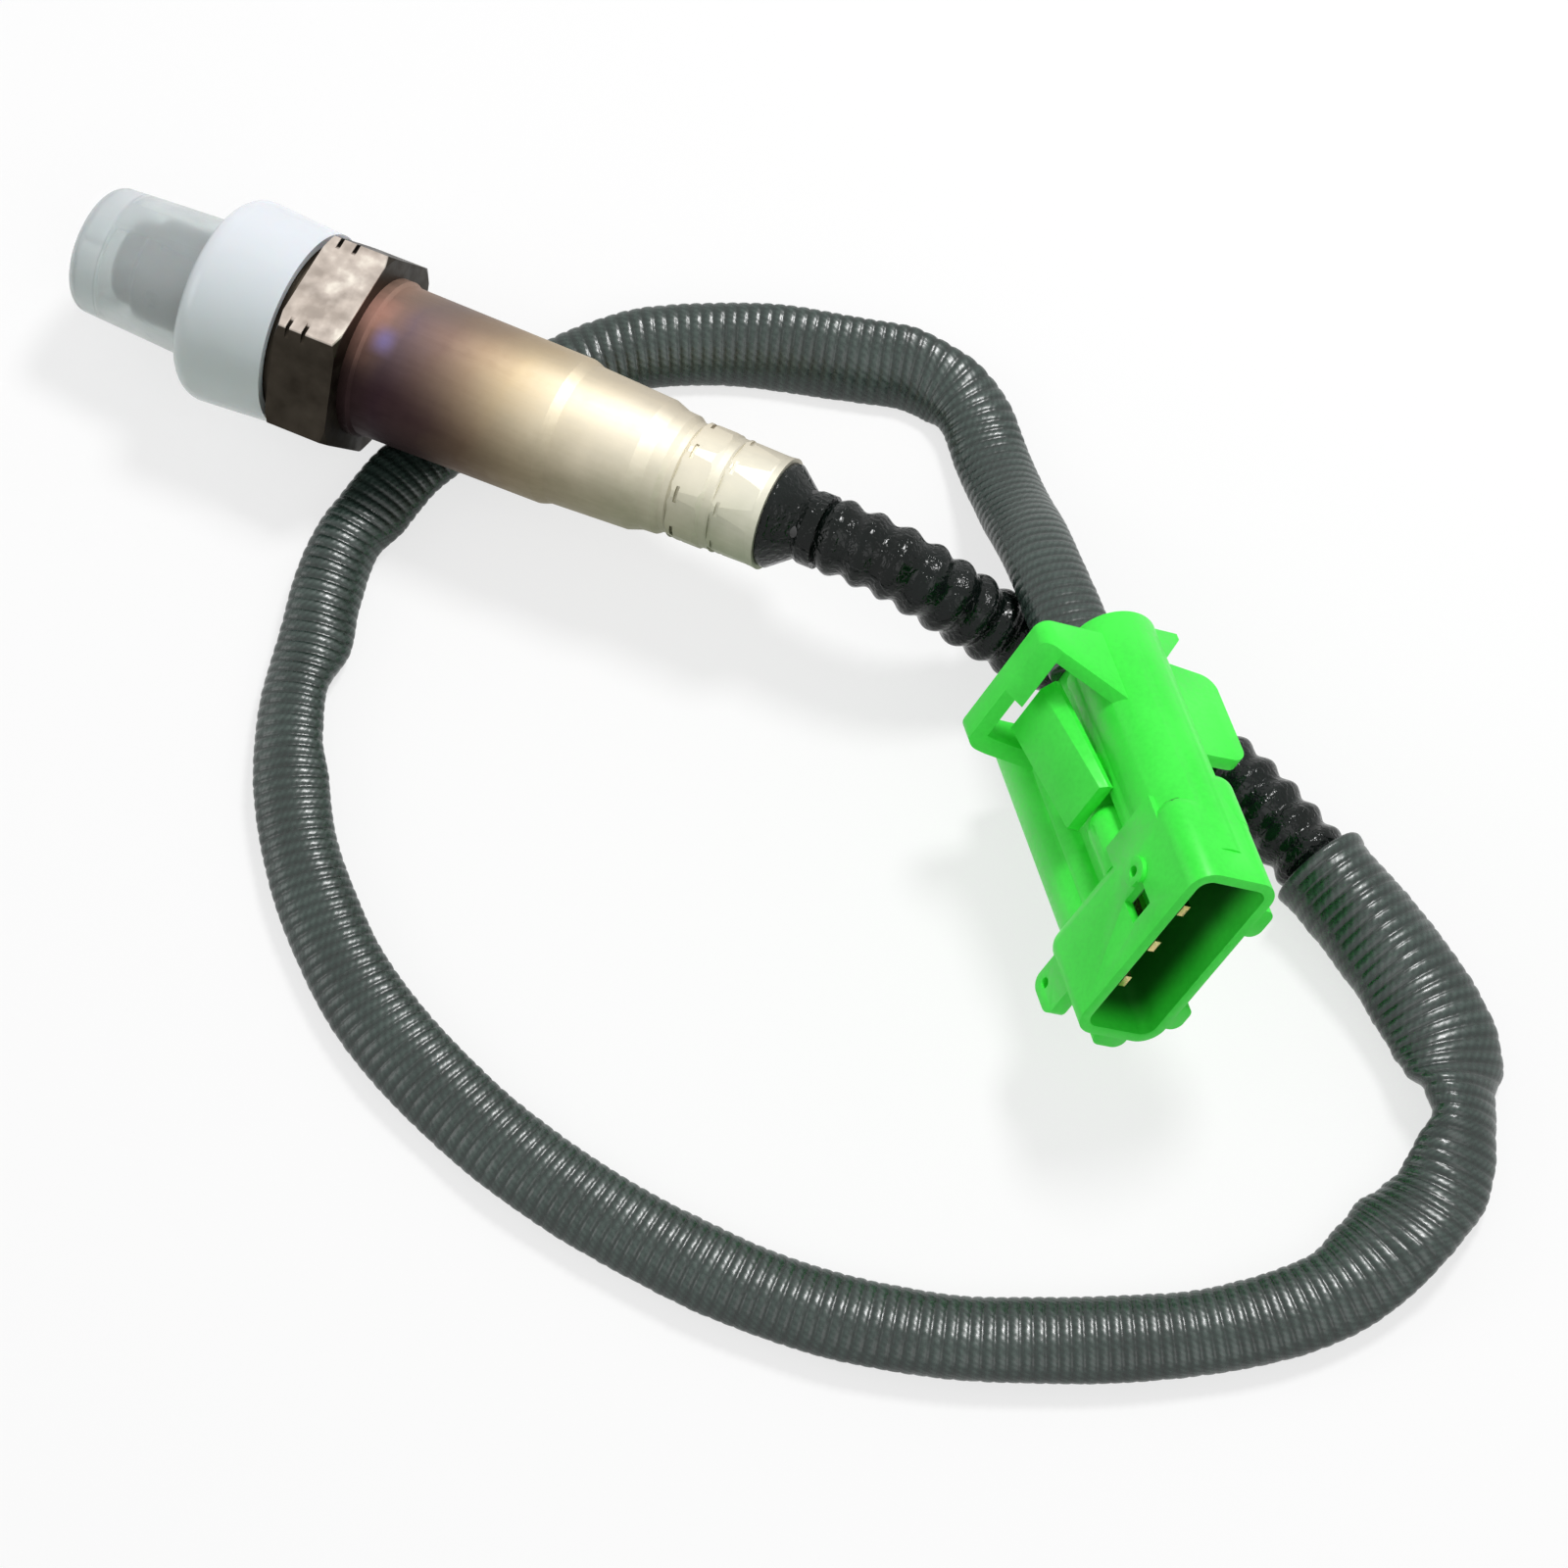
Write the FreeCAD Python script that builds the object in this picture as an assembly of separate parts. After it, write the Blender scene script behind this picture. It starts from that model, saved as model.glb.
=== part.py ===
"""Four-wire planar oxygen sensor, with its cable and its four-way plug.

The part lies on a flat surface, +Z up. The sensor's axis runs along +X, from the
capped probe to the crimped cable end, and rises a little, because the sleeve lies
on a loop of its own cable. The origin is under the middle of the sensor, on the
surface. Every length is in millimetres.
"""
import FreeCAD, Part
import math
import os
from FreeCAD import Rotation, Vector

# Clearances
SLIP = 0.05
SEAT = 0.10

# Hexagon and thread of the housing. Sensor stations are measured along its axis
# from the sealing face of the hexagon: the probe is at negative stations.
HEX_ACROSS_FLATS = 22.0
HEX_LENGTH = 7.6
HEX_CHAMFER = 0.8
PUNCH_STATIONS = (1.3, 3.3)
PUNCH_WIDTH = 0.5
PUNCH_DEPTH = 0.7
THREAD_MAJOR_R = 9.0
THREAD_LENGTH = 11.6
THREAD_RELIEF_LENGTH = 2.6
THREAD_RELIEF_DEPTH = 0.9
THREAD_CHAMFER = 1.0
SPIGOT_R = 7.9
SPIGOT_LENGTH = 5.4
NOSE_R = 5.45
NOSE_LENGTH = 2.8
CORE_R = 5.0
CORE_SHOULDER = 1.0
NOSE_BORE_R = 3.2

# Crushable sealing ring
RING_THICKNESS = 2.0
RING_R = 10.2

# Probe tubes
OUTER_TUBE_WALL = 0.5
OUTER_TUBE_LENGTH = 12.9
OUTER_TUBE_NARROW_R = 4.9
OUTER_TUBE_NARROW_LENGTH = 3.6
OUTER_TUBE_END_RADIUS = 1.4
GAS_HOLE_R = 1.0
GAS_HOLE_COUNT = 6
INNER_TUBE_R = 3.9
INNER_TUBE_WALL = 0.4
INNER_TUBE_GAP = 1.2
INNER_HOLE_R = 0.6

# Ceramic stack
SUPPORT_LENGTH = 5.5
TALC_LENGTH = 6.5
BUSH_LENGTH = 8.0
SPRING_WASHER_T = 1.0
SPRING_WASHER_R = 6.4
ELEMENT_WIDTH = 4.2
ELEMENT_THICKNESS = 1.4
ELEMENT_BACK = 39.0
ELEMENT_TIP_GAP = 1.5

# Protective cap
CAP_TIP_R = 7.4
CAP_NECK_R = 8.2
CAP_TIP_GAP = 4.2
CAP_WALL = 1.1
CAP_TIP_ROUND = 1.6
CAP_NECK_ROUND = 0.7
CAP_SHOULDER_GAP = 0.3
COLLAR_CLEARANCE = 0.2
COLLAR_TAPER = 0.8
COLLAR_WALL = 0.9
SHOULDER_WALL = 0.8
COLLAR_ROUND = 2.4
COLLAR_END_GAP = 1.1
CAP_RIB_COUNT = 6
CAP_RIB_WIDTH = 1.2

# Stepped protective sleeve
SLEEVE_WALL = 0.6
SLEEVE_FOOT_R = 9.2
SLEEVE_FOOT_LENGTH = 1.1
SLEEVE_FRONT_R = 8.85
SLEEVE_FRONT_END_R = 8.5
SLEEVE_FRONT_LENGTH = 24.0
SLEEVE_MID_R = 8.05
SLEEVE_MID_END_R = 7.6
SLEEVE_MID_LENGTH = 11.6
SLEEVE_REAR_R = 6.9
SLEEVE_RIM_R = 6.45
CRIMP_GROOVE_R = 6.4
CRIMP_BAND_FLATS_R = 6.5
CRIMP_REAR_FLATS_R = 6.25
CRIMP_SIDES = 8
CRIMP_LENGTH = 14.4
CRIMP_SLOT = (1.9, 0.4)

# Contacts inside the sleeve
HOLDER_R = 6.5
HOLDER_FRONT = 22.0
HOLDER_LENGTH = 18.0
HOLDER_CHANNEL_HALF_WIDTH = 2.6
HOLDER_CHANNEL_HALF_HEIGHT = 2.7
HOLDER_SPLIT = 0.2
CLAMP_RING_WALL = 0.35
CLAMP_RING_LENGTH = 9.0
CLIP_THICKNESS = 0.3
CLIP_WIDTH = 1.5
CLIP_OFFSET = 1.15
WIRE_R = 1.05
WIRE_OFFSET = 2.15
BARREL_WALL = 0.25
BARREL_LENGTH = 3.6

# Rubber grommet
GROMMET_FRONT = 49.0
GROMMET_LIP_R = 6.0
GROMMET_NECK_R = 4.2
GROMMET_CONE_LENGTH = 3.4
GROMMET_NECK_LENGTH = 2.4
VENT_R = 0.75
VENT_LENGTH = 3.0

# Cable: corrugated conduit first, then the woven sleeve round the wires
CONDUIT_D = 8.8
WOVEN_WIDTH = 8.8
WOVEN_HEIGHT = 4.5
ARC_SHARE = 0.45

# How the sensor lies
SENSOR_TILT_DEG = 3.8
SENSOR_MIDDLE_STATION = 17.7

# Plug: its own frame has x from the back to the mouth, y across the four ways
# and z towards the latch
PLUG_LENGTH = 38.0
PLUG_PITCH = 5.6
PLUG_WAYS = 4
PLUG_ROW_MIDDLE = 0.6
PLUG_AT = Vector(77.55, -5.03, 14.98)
PLUG_YAW_DEG = -49.5
PLUG_PITCH_DEG = 15.0
PLUG_ROLL_DEG = 56.0
HOOD_WIDTH = 25.0
HOOD_HEIGHT = 10.6
HOOD_WALL = 1.15
HOOD_LENGTH = 11.8
HOOD_DEPTH = 14.2
HOOD_ROUND = 2.6
HOOD_END_ROUND = 2.2
SKIRT_LENGTH = 4.4
SKIRT_HALF_WIDTH = 11.4
SKIRT_HALF_HEIGHT = 3.6
SKIRT_DROP = 1.7
POCKET_HALF_HEIGHT = 2.5
POCKET_DROP = 1.0
HIGH_BULGE_R = 5.0
HIGH_BULGE_Y = 7.7
LOW_BULGE_R = 4.3
LOW_BULGE_Y = -8.1
BODY_TOP = 2.7
BODY_BOTTOM = -4.3
PIN_WIDTH = 1.5
PIN_THICKNESS = 0.8
PIN_RECESS = 3.4
ARCH_BACK = 2.4
ARCH_BAR_LENGTH = 2.6
ARCH_BAR_HEIGHT = 1.5
ARCH_TOP = 12.0
ARCH_LOW_Y = -6.1
ARCH_HIGH_Y = 10.8
ARCH_LOW_WALL = 2.2
ARCH_HIGH_WALL = 1.6
ARCH_ROUND = 1.5
LEVER_BACK = 5.9
LEVER_FRONT = 19.4
BOSS_R = 2.7
BOSS_BACK = 21.2
BOSS_Y = 0.6
BOSS_Z = 2.4
RAIL_REACH = 9.4
RAIL_ROUND = 2.0
EAR_BACK = 28.6
EAR_LENGTH = 5.0
EAR_REACH_Y = -15.8
EAR_ROUND = 1.4
SEAL_R = 2.15
SEAL_LENGTH = 4.4
CAVITY_R = 1.3
RETAINER_T = 1.2

# Values worked out from the ones above
HEX_BACK = HEX_LENGTH
THREAD_FRONT = -THREAD_LENGTH
NOSE_FRONT = THREAD_FRONT - NOSE_LENGTH
COLLAR_END_R = RING_R + COLLAR_CLEARANCE + COLLAR_WALL
COLLAR_R = COLLAR_END_R + COLLAR_TAPER
OUTER_TUBE_R = NOSE_R + SLIP + OUTER_TUBE_WALL
PROBE_TIP = THREAD_FRONT - OUTER_TUBE_LENGTH
INNER_TIP = PROBE_TIP + INNER_TUBE_GAP
CAP_TIP = PROBE_TIP - CAP_TIP_GAP
CAP_NECK_STATION = THREAD_FRONT - CAP_SHOULDER_GAP - SHOULDER_WALL
STACK_FRONT = THREAD_FRONT + CORE_SHOULDER
TALC_FRONT = STACK_FRONT + SUPPORT_LENGTH
BUSH_FRONT = TALC_FRONT + TALC_LENGTH
BUSH_BACK = BUSH_FRONT + BUSH_LENGTH
STEP_STATION = HEX_BACK + SLEEVE_FRONT_LENGTH
CRIMP_STATION = STEP_STATION + SLEEVE_MID_LENGTH
RIM_STATION = CRIMP_STATION + CRIMP_LENGTH
CONE_END = RIM_STATION + GROMMET_CONE_LENGTH
GROMMET_END = CONE_END + GROMMET_NECK_LENGTH
GROMMET_R = CRIMP_REAR_FLATS_R - SLEEVE_WALL - SLIP
HOLDER_BACK = HOLDER_FRONT + HOLDER_LENGTH
ELEMENT_TIP = INNER_TIP + INNER_TUBE_WALL + ELEMENT_TIP_GAP
HOOD_BACK = PLUG_LENGTH - HOOD_LENGTH
HOOD_FLOOR = PLUG_LENGTH - HOOD_DEPTH
SKIRT_Y = HOOD_WIDTH / 2 - SKIRT_HALF_WIDTH

# Cable routes: points chosen by hand from the shape of the cable
CONDUIT_ROUTE = [
    (45.62, 0.0, 16.889), (52.6, 0.0, 17.3526), (58.8, 0.3, 14.6), (65.0, 1.7, 8.9),
    (71.8, 2.6, 5.3), (80.5, 1.8, 4.6), (90.1, 0.2, 4.5), (99.7, -2.89, 4.5),
    (108.5, -7.4, 4.5),
]
WOVEN_Z = 2.3
WOVEN_LEVEL_ROUTE = [
    (108.5, -7.4), (116.5, -11.5), (124.2, -15.6), (130.4, -20.4), (134.2, -27.4),
    (135.0, -35.4), (132.6, -43.6), (127.2, -52.0), (118.6, -60.0), (107.0, -67.0),
    (93.4, -73.4), (77.6, -76.8), (61.0, -76.8), (45.0, -74.4), (30.4, -69.0),
    (18.4, -61.6), (8.6, -52.4), (1.6, -41.6), (-3.0, -29.8), (-5.6, -18.0),
    (-4.4, -6.8), (0.8, 4.2), (6.4, 14.2), (14.2, 20.6), (24.6, 25.6), (35.8, 28.6),
    (44.2, 31.2), (50.401, 29.388), (54.947, 24.066),
]
WOVEN_RISE_ROUTE = [
    (60.142, 17.982, 5.5), (65.663, 11.519, 11.4), (71.183, 5.055, 14.9),
    (75.0649, 0.5104, 16.5964), (78.3269, -3.309, 17.9422),
]

X_AXIS = Vector(1, 0, 0)
Y_AXIS = Vector(0, 1, 0)
Z_AXIS = Vector(0, 0, 1)


# Shape helpers
def turned(profile):
    """Solid of revolution about the x axis from (station, radius) corners."""
    corners = [Vector(x, 0, r) for x, r in profile]
    face = Part.Face(Part.makePolygon(corners + corners[:1]))
    return face.revolve(Vector(0, 0, 0), X_AXIS, 360)


def rod(radius, start, end, y=0.0, z=0.0):
    return Part.makeCylinder(radius, end - start, Vector(start, y, z), X_AXIS)


def block(x0, x1, y0, y1, z0, z1):
    return Part.makeBox(x1 - x0, y1 - y0, z1 - z0, Vector(x0, y0, z0))


def plate_xz(corners, y0, y1):
    """Flat plate with an outline of (x, z) corners, between two y values."""
    points = [Vector(x, y0, z) for x, z in corners]
    face = Part.Face(Part.makePolygon(points + points[:1]))
    return face.extrude(Vector(0, y1 - y0, 0))


def around(shape, count, first_deg=0.0):
    """Copies of a shape, evenly spaced round the x axis."""
    copies = []
    for index in range(count):
        copy = shape.copy()
        copy.rotate(Vector(0, 0, 0), X_AXIS, first_deg + 360.0 * index / count)
        copies.append(copy)
    return copies


def edges_where(shape, test):
    return [edge for edge in shape.Edges if test(edge)]


def is_arc_at(edge, station):
    box = edge.BoundBox
    return abs(box.XMin - station) < 1e-4 and abs(box.XMax - station) < 1e-4


# Sensor pieces, each built along its own axis
def protective_cap():
    """Translucent push-on cap: a neck over the probe, a collar over the thread."""
    front = CAP_NECK_STATION
    back = -COLLAR_END_GAP
    outer = turned([(CAP_TIP, 0), (CAP_TIP, CAP_TIP_R), (front, CAP_NECK_R),
                    (front, COLLAR_R), (back, COLLAR_END_R), (back, 0)])
    outer = outer.makeFillet(CAP_TIP_ROUND, edges_where(
        outer, lambda e: is_arc_at(e, CAP_TIP)))
    outer = outer.makeFillet(COLLAR_ROUND, edges_where(
        outer, lambda e: is_arc_at(e, front) and e.BoundBox.ZMax > COLLAR_R - 0.01))
    outer = outer.makeFillet(CAP_NECK_ROUND, edges_where(
        outer, lambda e: is_arc_at(e, front) and e.BoundBox.ZMax < CAP_NECK_R + 0.01))
    lip = back - 1.0
    inner = turned([(CAP_TIP + CAP_WALL, 0),
                    (CAP_TIP + CAP_WALL, CAP_TIP_R - CAP_WALL),
                    (front + SHOULDER_WALL, CAP_NECK_R - CAP_WALL),
                    (front + SHOULDER_WALL, COLLAR_R - COLLAR_ROUND),
                    (front + COLLAR_ROUND, COLLAR_R - COLLAR_WALL - SEAT),
                    (lip, COLLAR_END_R - COLLAR_WALL),
                    (back + 1.0, COLLAR_END_R - COLLAR_WALL), (back + 1.0, 0)])
    grip = block(THREAD_FRONT + THREAD_CHAMFER, -RING_THICKNESS - SEAT,
                 -CAP_RIB_WIDTH / 2, CAP_RIB_WIDTH / 2, THREAD_MAJOR_R + SLIP, COLLAR_R)
    spine = block(CAP_TIP + CAP_WALL / 2, CAP_TIP + 3.6, -0.3, 0.3,
                  CAP_TIP_R - CAP_WALL - 0.9, CAP_TIP_R)
    ribs = Part.makeCompound(around(grip, CAP_RIB_COUNT, 30.0) + around(spine, 3, 24.0))
    return outer.cut(inner.cut(ribs)).removeSplitter()


def sensor_housing():
    flats_r = HEX_ACROSS_FLATS / 2
    corner_r = flats_r / math.cos(math.radians(30))
    corners = []
    for index in range(6):
        angle = math.radians(60 * index)
        corners.append(Vector(0, corner_r * math.cos(angle), corner_r * math.sin(angle)))
    hexagon = Part.Face(Part.makePolygon(corners + corners[:1]))
    hexagon = hexagon.extrude(Vector(HEX_LENGTH, 0, 0))
    end_r = corner_r - HEX_CHAMFER
    slope = HEX_CHAMFER * math.tan(math.radians(30))
    depth = (corner_r ** 2 - end_r ** 2 + slope ** 2) / (2 * slope)
    ball_r = math.hypot(end_r, depth)
    for centre in (depth, HEX_LENGTH - depth):
        hexagon = hexagon.common(Part.makeSphere(ball_r, Vector(centre, 0, 0)))
    marks = []
    for corner_angle in (-30.0, 30.0):
        for station in PUNCH_STATIONS:
            mark = block(station, station + PUNCH_WIDTH, -2.0, 2.0,
                         corner_r - PUNCH_DEPTH, corner_r + 1)
            mark.rotate(Vector(0, 0, 0), X_AXIS, corner_angle)
            marks.append(mark)
    hexagon = hexagon.cut(Part.makeCompound(marks))
    relief_r = THREAD_MAJOR_R - THREAD_RELIEF_DEPTH
    shank = turned([(NOSE_FRONT, 0), (NOSE_FRONT, NOSE_R), (THREAD_FRONT, NOSE_R),
                    (THREAD_FRONT, THREAD_MAJOR_R - THREAD_CHAMFER),
                    (THREAD_FRONT + THREAD_CHAMFER, THREAD_MAJOR_R),
                    (-THREAD_RELIEF_LENGTH - THREAD_RELIEF_DEPTH, THREAD_MAJOR_R),
                    (-THREAD_RELIEF_LENGTH, relief_r), (0, relief_r),
                    (0, SPIGOT_R), (HEX_BACK + SPIGOT_LENGTH, SPIGOT_R),
                    (HEX_BACK + SPIGOT_LENGTH, 0)])
    washer_seat = SPRING_WASHER_R + SLIP
    bore = turned([(NOSE_FRONT, 0), (NOSE_FRONT, INNER_TUBE_R + SLIP),
                   (NOSE_FRONT + 1.5, INNER_TUBE_R + SLIP), (NOSE_FRONT + 1.5, NOSE_BORE_R),
                   (STACK_FRONT, NOSE_BORE_R), (STACK_FRONT, CORE_R),
                   (BUSH_BACK, CORE_R), (BUSH_BACK, washer_seat),
                   (HEX_BACK + SPIGOT_LENGTH, washer_seat), (HEX_BACK + SPIGOT_LENGTH, 0)])
    return hexagon.fuse(shank).cut(bore).removeSplitter()


def sealing_ring():
    inner = THREAD_MAJOR_R + SLIP
    ring = turned([(-RING_THICKNESS, inner), (-RING_THICKNESS, RING_R), (0, RING_R),
                   (0, inner)])
    return ring.makeFillet(0.7, [e for e in ring.Edges
                                 if e.Closed and e.BoundBox.ZMax > RING_R - 0.01
                                 and is_arc_at(e, e.BoundBox.XMin)])


def drawn_tube(tip, end, radius, wall, end_round):
    """Thin tube closed at its tip, with a rounded end."""
    outer = rod(radius, tip, end)
    outer = outer.makeFillet(end_round, [e for e in outer.Edges if is_arc_at(e, tip)])
    inner = rod(radius - wall, tip + wall, end)
    inner = inner.makeFillet(end_round - wall,
                             [e for e in inner.Edges if is_arc_at(e, tip + wall)])
    return outer.cut(inner)


def cross_hole(radius, station, reach):
    return Part.makeCylinder(radius, reach, Vector(station, 0, 0), Z_AXIS)


def outer_tube_solid(shrink):
    """Stepped outer form of the probe tube, or its inside when shrunk by the wall."""
    tip = PROBE_TIP + shrink
    narrow_r = OUTER_TUBE_NARROW_R - shrink
    wide_r = OUTER_TUBE_R - shrink
    step = PROBE_TIP + OUTER_TUBE_NARROW_LENGTH + shrink / 2
    form = turned([(tip, 0), (tip, narrow_r), (step - 0.6, narrow_r),
                   (step + 0.3, wide_r), (THREAD_FRONT, wide_r), (THREAD_FRONT, 0)])
    tip_edges = edges_where(form, lambda e: is_arc_at(e, tip))
    return form.makeFillet(OUTER_TUBE_END_RADIUS - shrink, tip_edges)


def outer_protection_tube():
    tube = outer_tube_solid(0).cut(outer_tube_solid(OUTER_TUBE_WALL))
    hole = cross_hole(GAS_HOLE_R, THREAD_FRONT - OUTER_TUBE_LENGTH / 2, OUTER_TUBE_R + 1)
    holes = around(hole, GAS_HOLE_COUNT)
    holes.append(rod(GAS_HOLE_R, PROBE_TIP - 1, PROBE_TIP + 1))
    return tube.cut(Part.makeCompound(holes))


def inner_protection_tube():
    tube = drawn_tube(INNER_TIP, NOSE_FRONT + 1.5 - SLIP, INNER_TUBE_R, INNER_TUBE_WALL,
                      OUTER_TUBE_END_RADIUS)
    holes = around(cross_hole(INNER_HOLE_R, INNER_TIP + 4.0, INNER_TUBE_R + 1),
                   GAS_HOLE_COUNT, 30.0)
    return tube.cut(Part.makeCompound(holes))


def element_block(grow):
    half_w = ELEMENT_WIDTH / 2 + grow
    half_t = ELEMENT_THICKNESS / 2 + grow
    return block(ELEMENT_TIP, ELEMENT_BACK, -half_w, half_w, -half_t, half_t)


def sensing_element():
    strip = element_block(0)
    tip_edges = [e for e in strip.Edges if is_arc_at(e, ELEMENT_TIP)
                 and abs(e.BoundBox.YMax - e.BoundBox.YMin) > 1]
    return strip.makeChamfer(0.4, tip_edges)


def ceramic_disc(front, back, radius):
    """Round filling piece with the slot that the ceramic strip passes through."""
    return rod(radius, front, back).cut(element_block(SLIP))


def spring_washer():
    inner = 3.4
    front = BUSH_BACK
    return turned([(front, inner), (front, SPRING_WASHER_R),
                   (front + SPRING_WASHER_T, SPRING_WASHER_R),
                   (front + SPRING_WASHER_T, inner)])


def sleeve_outline():
    """Outer (station, radius) outline of the stepped sleeve, foot to rim."""
    foot = HEX_BACK
    crimp = CRIMP_STATION
    step_middle_r = (SLEEVE_FRONT_END_R + SLEEVE_MID_R) / 2 + 0.09
    return [
        (foot, SLEEVE_FOOT_R), (foot + SLEEVE_FOOT_LENGTH, SLEEVE_FOOT_R),
        (foot + SLEEVE_FOOT_LENGTH + 0.4, SLEEVE_FRONT_R),
        (STEP_STATION, SLEEVE_FRONT_END_R), (STEP_STATION + 0.5, step_middle_r),
        (STEP_STATION + 1.3, SLEEVE_MID_R),
        (crimp - 1.0, SLEEVE_MID_END_R), (crimp + 0.7, SLEEVE_REAR_R + 0.1),
        (crimp + 2.2, SLEEVE_REAR_R), (crimp + 2.9, CRIMP_GROOVE_R),
        (crimp + 3.6, CRIMP_GROOVE_R), (crimp + 4.2, SLEEVE_REAR_R),
        (crimp + 7.2, SLEEVE_REAR_R - 0.1), (crimp + 7.8, CRIMP_GROOVE_R),
        (crimp + 8.6, CRIMP_GROOVE_R), (crimp + 9.2, SLEEVE_REAR_R - 0.25),
        (RIM_STATION - 0.8, CRIMP_GROOVE_R - 0.05), (RIM_STATION, SLEEVE_RIM_R),
    ]


def protective_sleeve():
    outline = sleeve_outline()
    outer = turned([(outline[0][0], 0)] + outline + [(outline[-1][0], 0)])
    bands = [(CRIMP_STATION + 3.9, CRIMP_STATION + 7.5, CRIMP_BAND_FLATS_R),
             (CRIMP_STATION + 8.9, RIM_STATION - 1.0, CRIMP_REAR_FLATS_R)]
    for start, end, flats_r in bands:
        flat = block(start, end, -4.0, 4.0, flats_r, SLEEVE_REAR_R + 1)
        outer = outer.cut(Part.makeCompound(around(flat, CRIMP_SIDES, 22.5)))
    slot_length, slot_width = CRIMP_SLOT
    notches = []
    for station in (CRIMP_STATION + 4.6, CRIMP_STATION + 9.4):
        notch = block(station, station + slot_width, -slot_length / 2, slot_length / 2,
                      CRIMP_BAND_FLATS_R - 0.1, SLEEVE_REAR_R + 1)
        notches += around(notch, CRIMP_SIDES)
    outer = outer.cut(Part.makeCompound(notches))
    spigot_in = SPIGOT_R + SLIP
    crimp_in = GROMMET_R + SLIP
    inner = turned([
        (HEX_BACK, 0), (HEX_BACK, spigot_in),
        (STEP_STATION - 0.5, spigot_in - 0.05),
        (STEP_STATION + 0.7, SLEEVE_MID_R - SLEEVE_WALL),
        (CRIMP_STATION - 1.0, SLEEVE_MID_END_R - SLEEVE_WALL),
        (CRIMP_STATION + 0.2, crimp_in), (RIM_STATION, crimp_in), (RIM_STATION, 0)])
    return outer.cut(inner)


def contact_holder_half(side):
    """Half of the ceramic block that presses the contacts on the strip."""
    body = rod(HOLDER_R, HOLDER_FRONT, HOLDER_BACK)
    half = block(HOLDER_FRONT - 1, HOLDER_BACK + 1, -HOLDER_R - 1, HOLDER_R + 1,
                 HOLDER_SPLIT / 2, HOLDER_R + 1)
    body = body.common(half)
    channel = block(HOLDER_FRONT - 1, HOLDER_BACK + 1, -HOLDER_CHANNEL_HALF_WIDTH,
                    HOLDER_CHANNEL_HALF_WIDTH, -1, HOLDER_CHANNEL_HALF_HEIGHT)
    body = body.cut(channel)
    if side < 0:
        body.rotate(Vector(0, 0, 0), X_AXIS, 180)
    return body


def holder_clamp_ring():
    outer_r = HOLDER_R + SLIP + CLAMP_RING_WALL
    start = HOLDER_FRONT + 2.0
    ring = rod(outer_r, start, start + CLAMP_RING_LENGTH)
    ring = ring.cut(rod(HOLDER_R + SLIP, start, start + CLAMP_RING_LENGTH))
    gap = block(start - 1, start + CLAMP_RING_LENGTH + 1, 0, outer_r + 1, -1.2, 1.2)
    windows = [block(start + 2.0, start + 6.0, -1.6, 1.6, 0, outer_r + 1)]
    windows += [block(start + 2.0, start + 6.0, -1.6, 1.6, -outer_r - 1, 0)]
    return ring.cut(Part.makeCompound([gap] + windows))


def contact_clip(y_side, z_side):
    """Bent strip that presses on one pad and ends in a crimp round its wire."""
    rest = ELEMENT_THICKNESS / 2 + SLIP
    roof = HOLDER_CHANNEL_HALF_HEIGHT - SLIP
    t = CLIP_THICKNESS
    front = HOLDER_FRONT + 1.0
    barrel_start = HOLDER_BACK + 0.6
    centre_line = [(front, roof - t), (front + 3.0, rest), (front + 4.6, rest),
                   (front + 9.0, roof - t), (barrel_start, roof - t)]
    lower = [(x, z) for x, z in centre_line]
    upper = [(x, z + t) for x, z in reversed(centre_line)]
    strip = plate_xz(lower + upper, CLIP_OFFSET - CLIP_WIDTH / 2,
                     CLIP_OFFSET + CLIP_WIDTH / 2)
    bore_r = WIRE_R + SLIP
    barrel_r = bore_r + BARREL_WALL
    barrel_end = barrel_start + BARREL_LENGTH
    barrel = rod(barrel_r, barrel_start, barrel_end, WIRE_OFFSET, WIRE_OFFSET)
    tail = block(barrel_start - 0.5, barrel_start + 0.8, CLIP_OFFSET - CLIP_WIDTH / 2,
                 WIRE_OFFSET + 0.6, roof - t, roof + 0.3)
    clip = strip.fuse(tail).fuse(barrel)
    clip = clip.cut(rod(bore_r, barrel_start + 0.4, barrel_end + 1, WIRE_OFFSET,
                        WIRE_OFFSET))
    slit = block(barrel_start + 0.8, barrel_end + 1, WIRE_OFFSET - 0.25,
                 WIRE_OFFSET + 0.25, WIRE_OFFSET, WIRE_OFFSET + barrel_r + 1)
    clip = clip.cut(slit).removeSplitter()
    if y_side < 0:
        clip = clip.mirror(Vector(0, 0, 0), Y_AXIS)
    if z_side < 0:
        clip = clip.mirror(Vector(0, 0, 0), Z_AXIS)
    return clip


def sensor_wire(y_side, z_side):
    start = HOLDER_BACK + 0.6 + 0.4 + SLIP
    return rod(WIRE_R, start, GROMMET_END, y_side * WIRE_OFFSET, z_side * WIRE_OFFSET)


def rubber_grommet():
    plug = turned([(GROMMET_FRONT, 0), (GROMMET_FRONT, GROMMET_R),
                   (RIM_STATION + SEAT, GROMMET_R), (RIM_STATION + SEAT, GROMMET_LIP_R),
                   (RIM_STATION + 0.7, GROMMET_LIP_R), (CONE_END, GROMMET_NECK_R - 0.3),
                   (CONE_END + 0.7, GROMMET_NECK_R), (GROMMET_END, GROMMET_NECK_R),
                   (GROMMET_END, 0)])
    bores = [rod(WIRE_R + SLIP, GROMMET_FRONT - 1, GROMMET_END + 1, y * WIRE_OFFSET,
                 z * WIRE_OFFSET) for y, z in WIRE_SIDES]
    bores.append(rod(VENT_R + SLIP, GROMMET_FRONT - 1, GROMMET_FRONT + VENT_LENGTH))
    return plug.cut(Part.makeCompound(bores))


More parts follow.
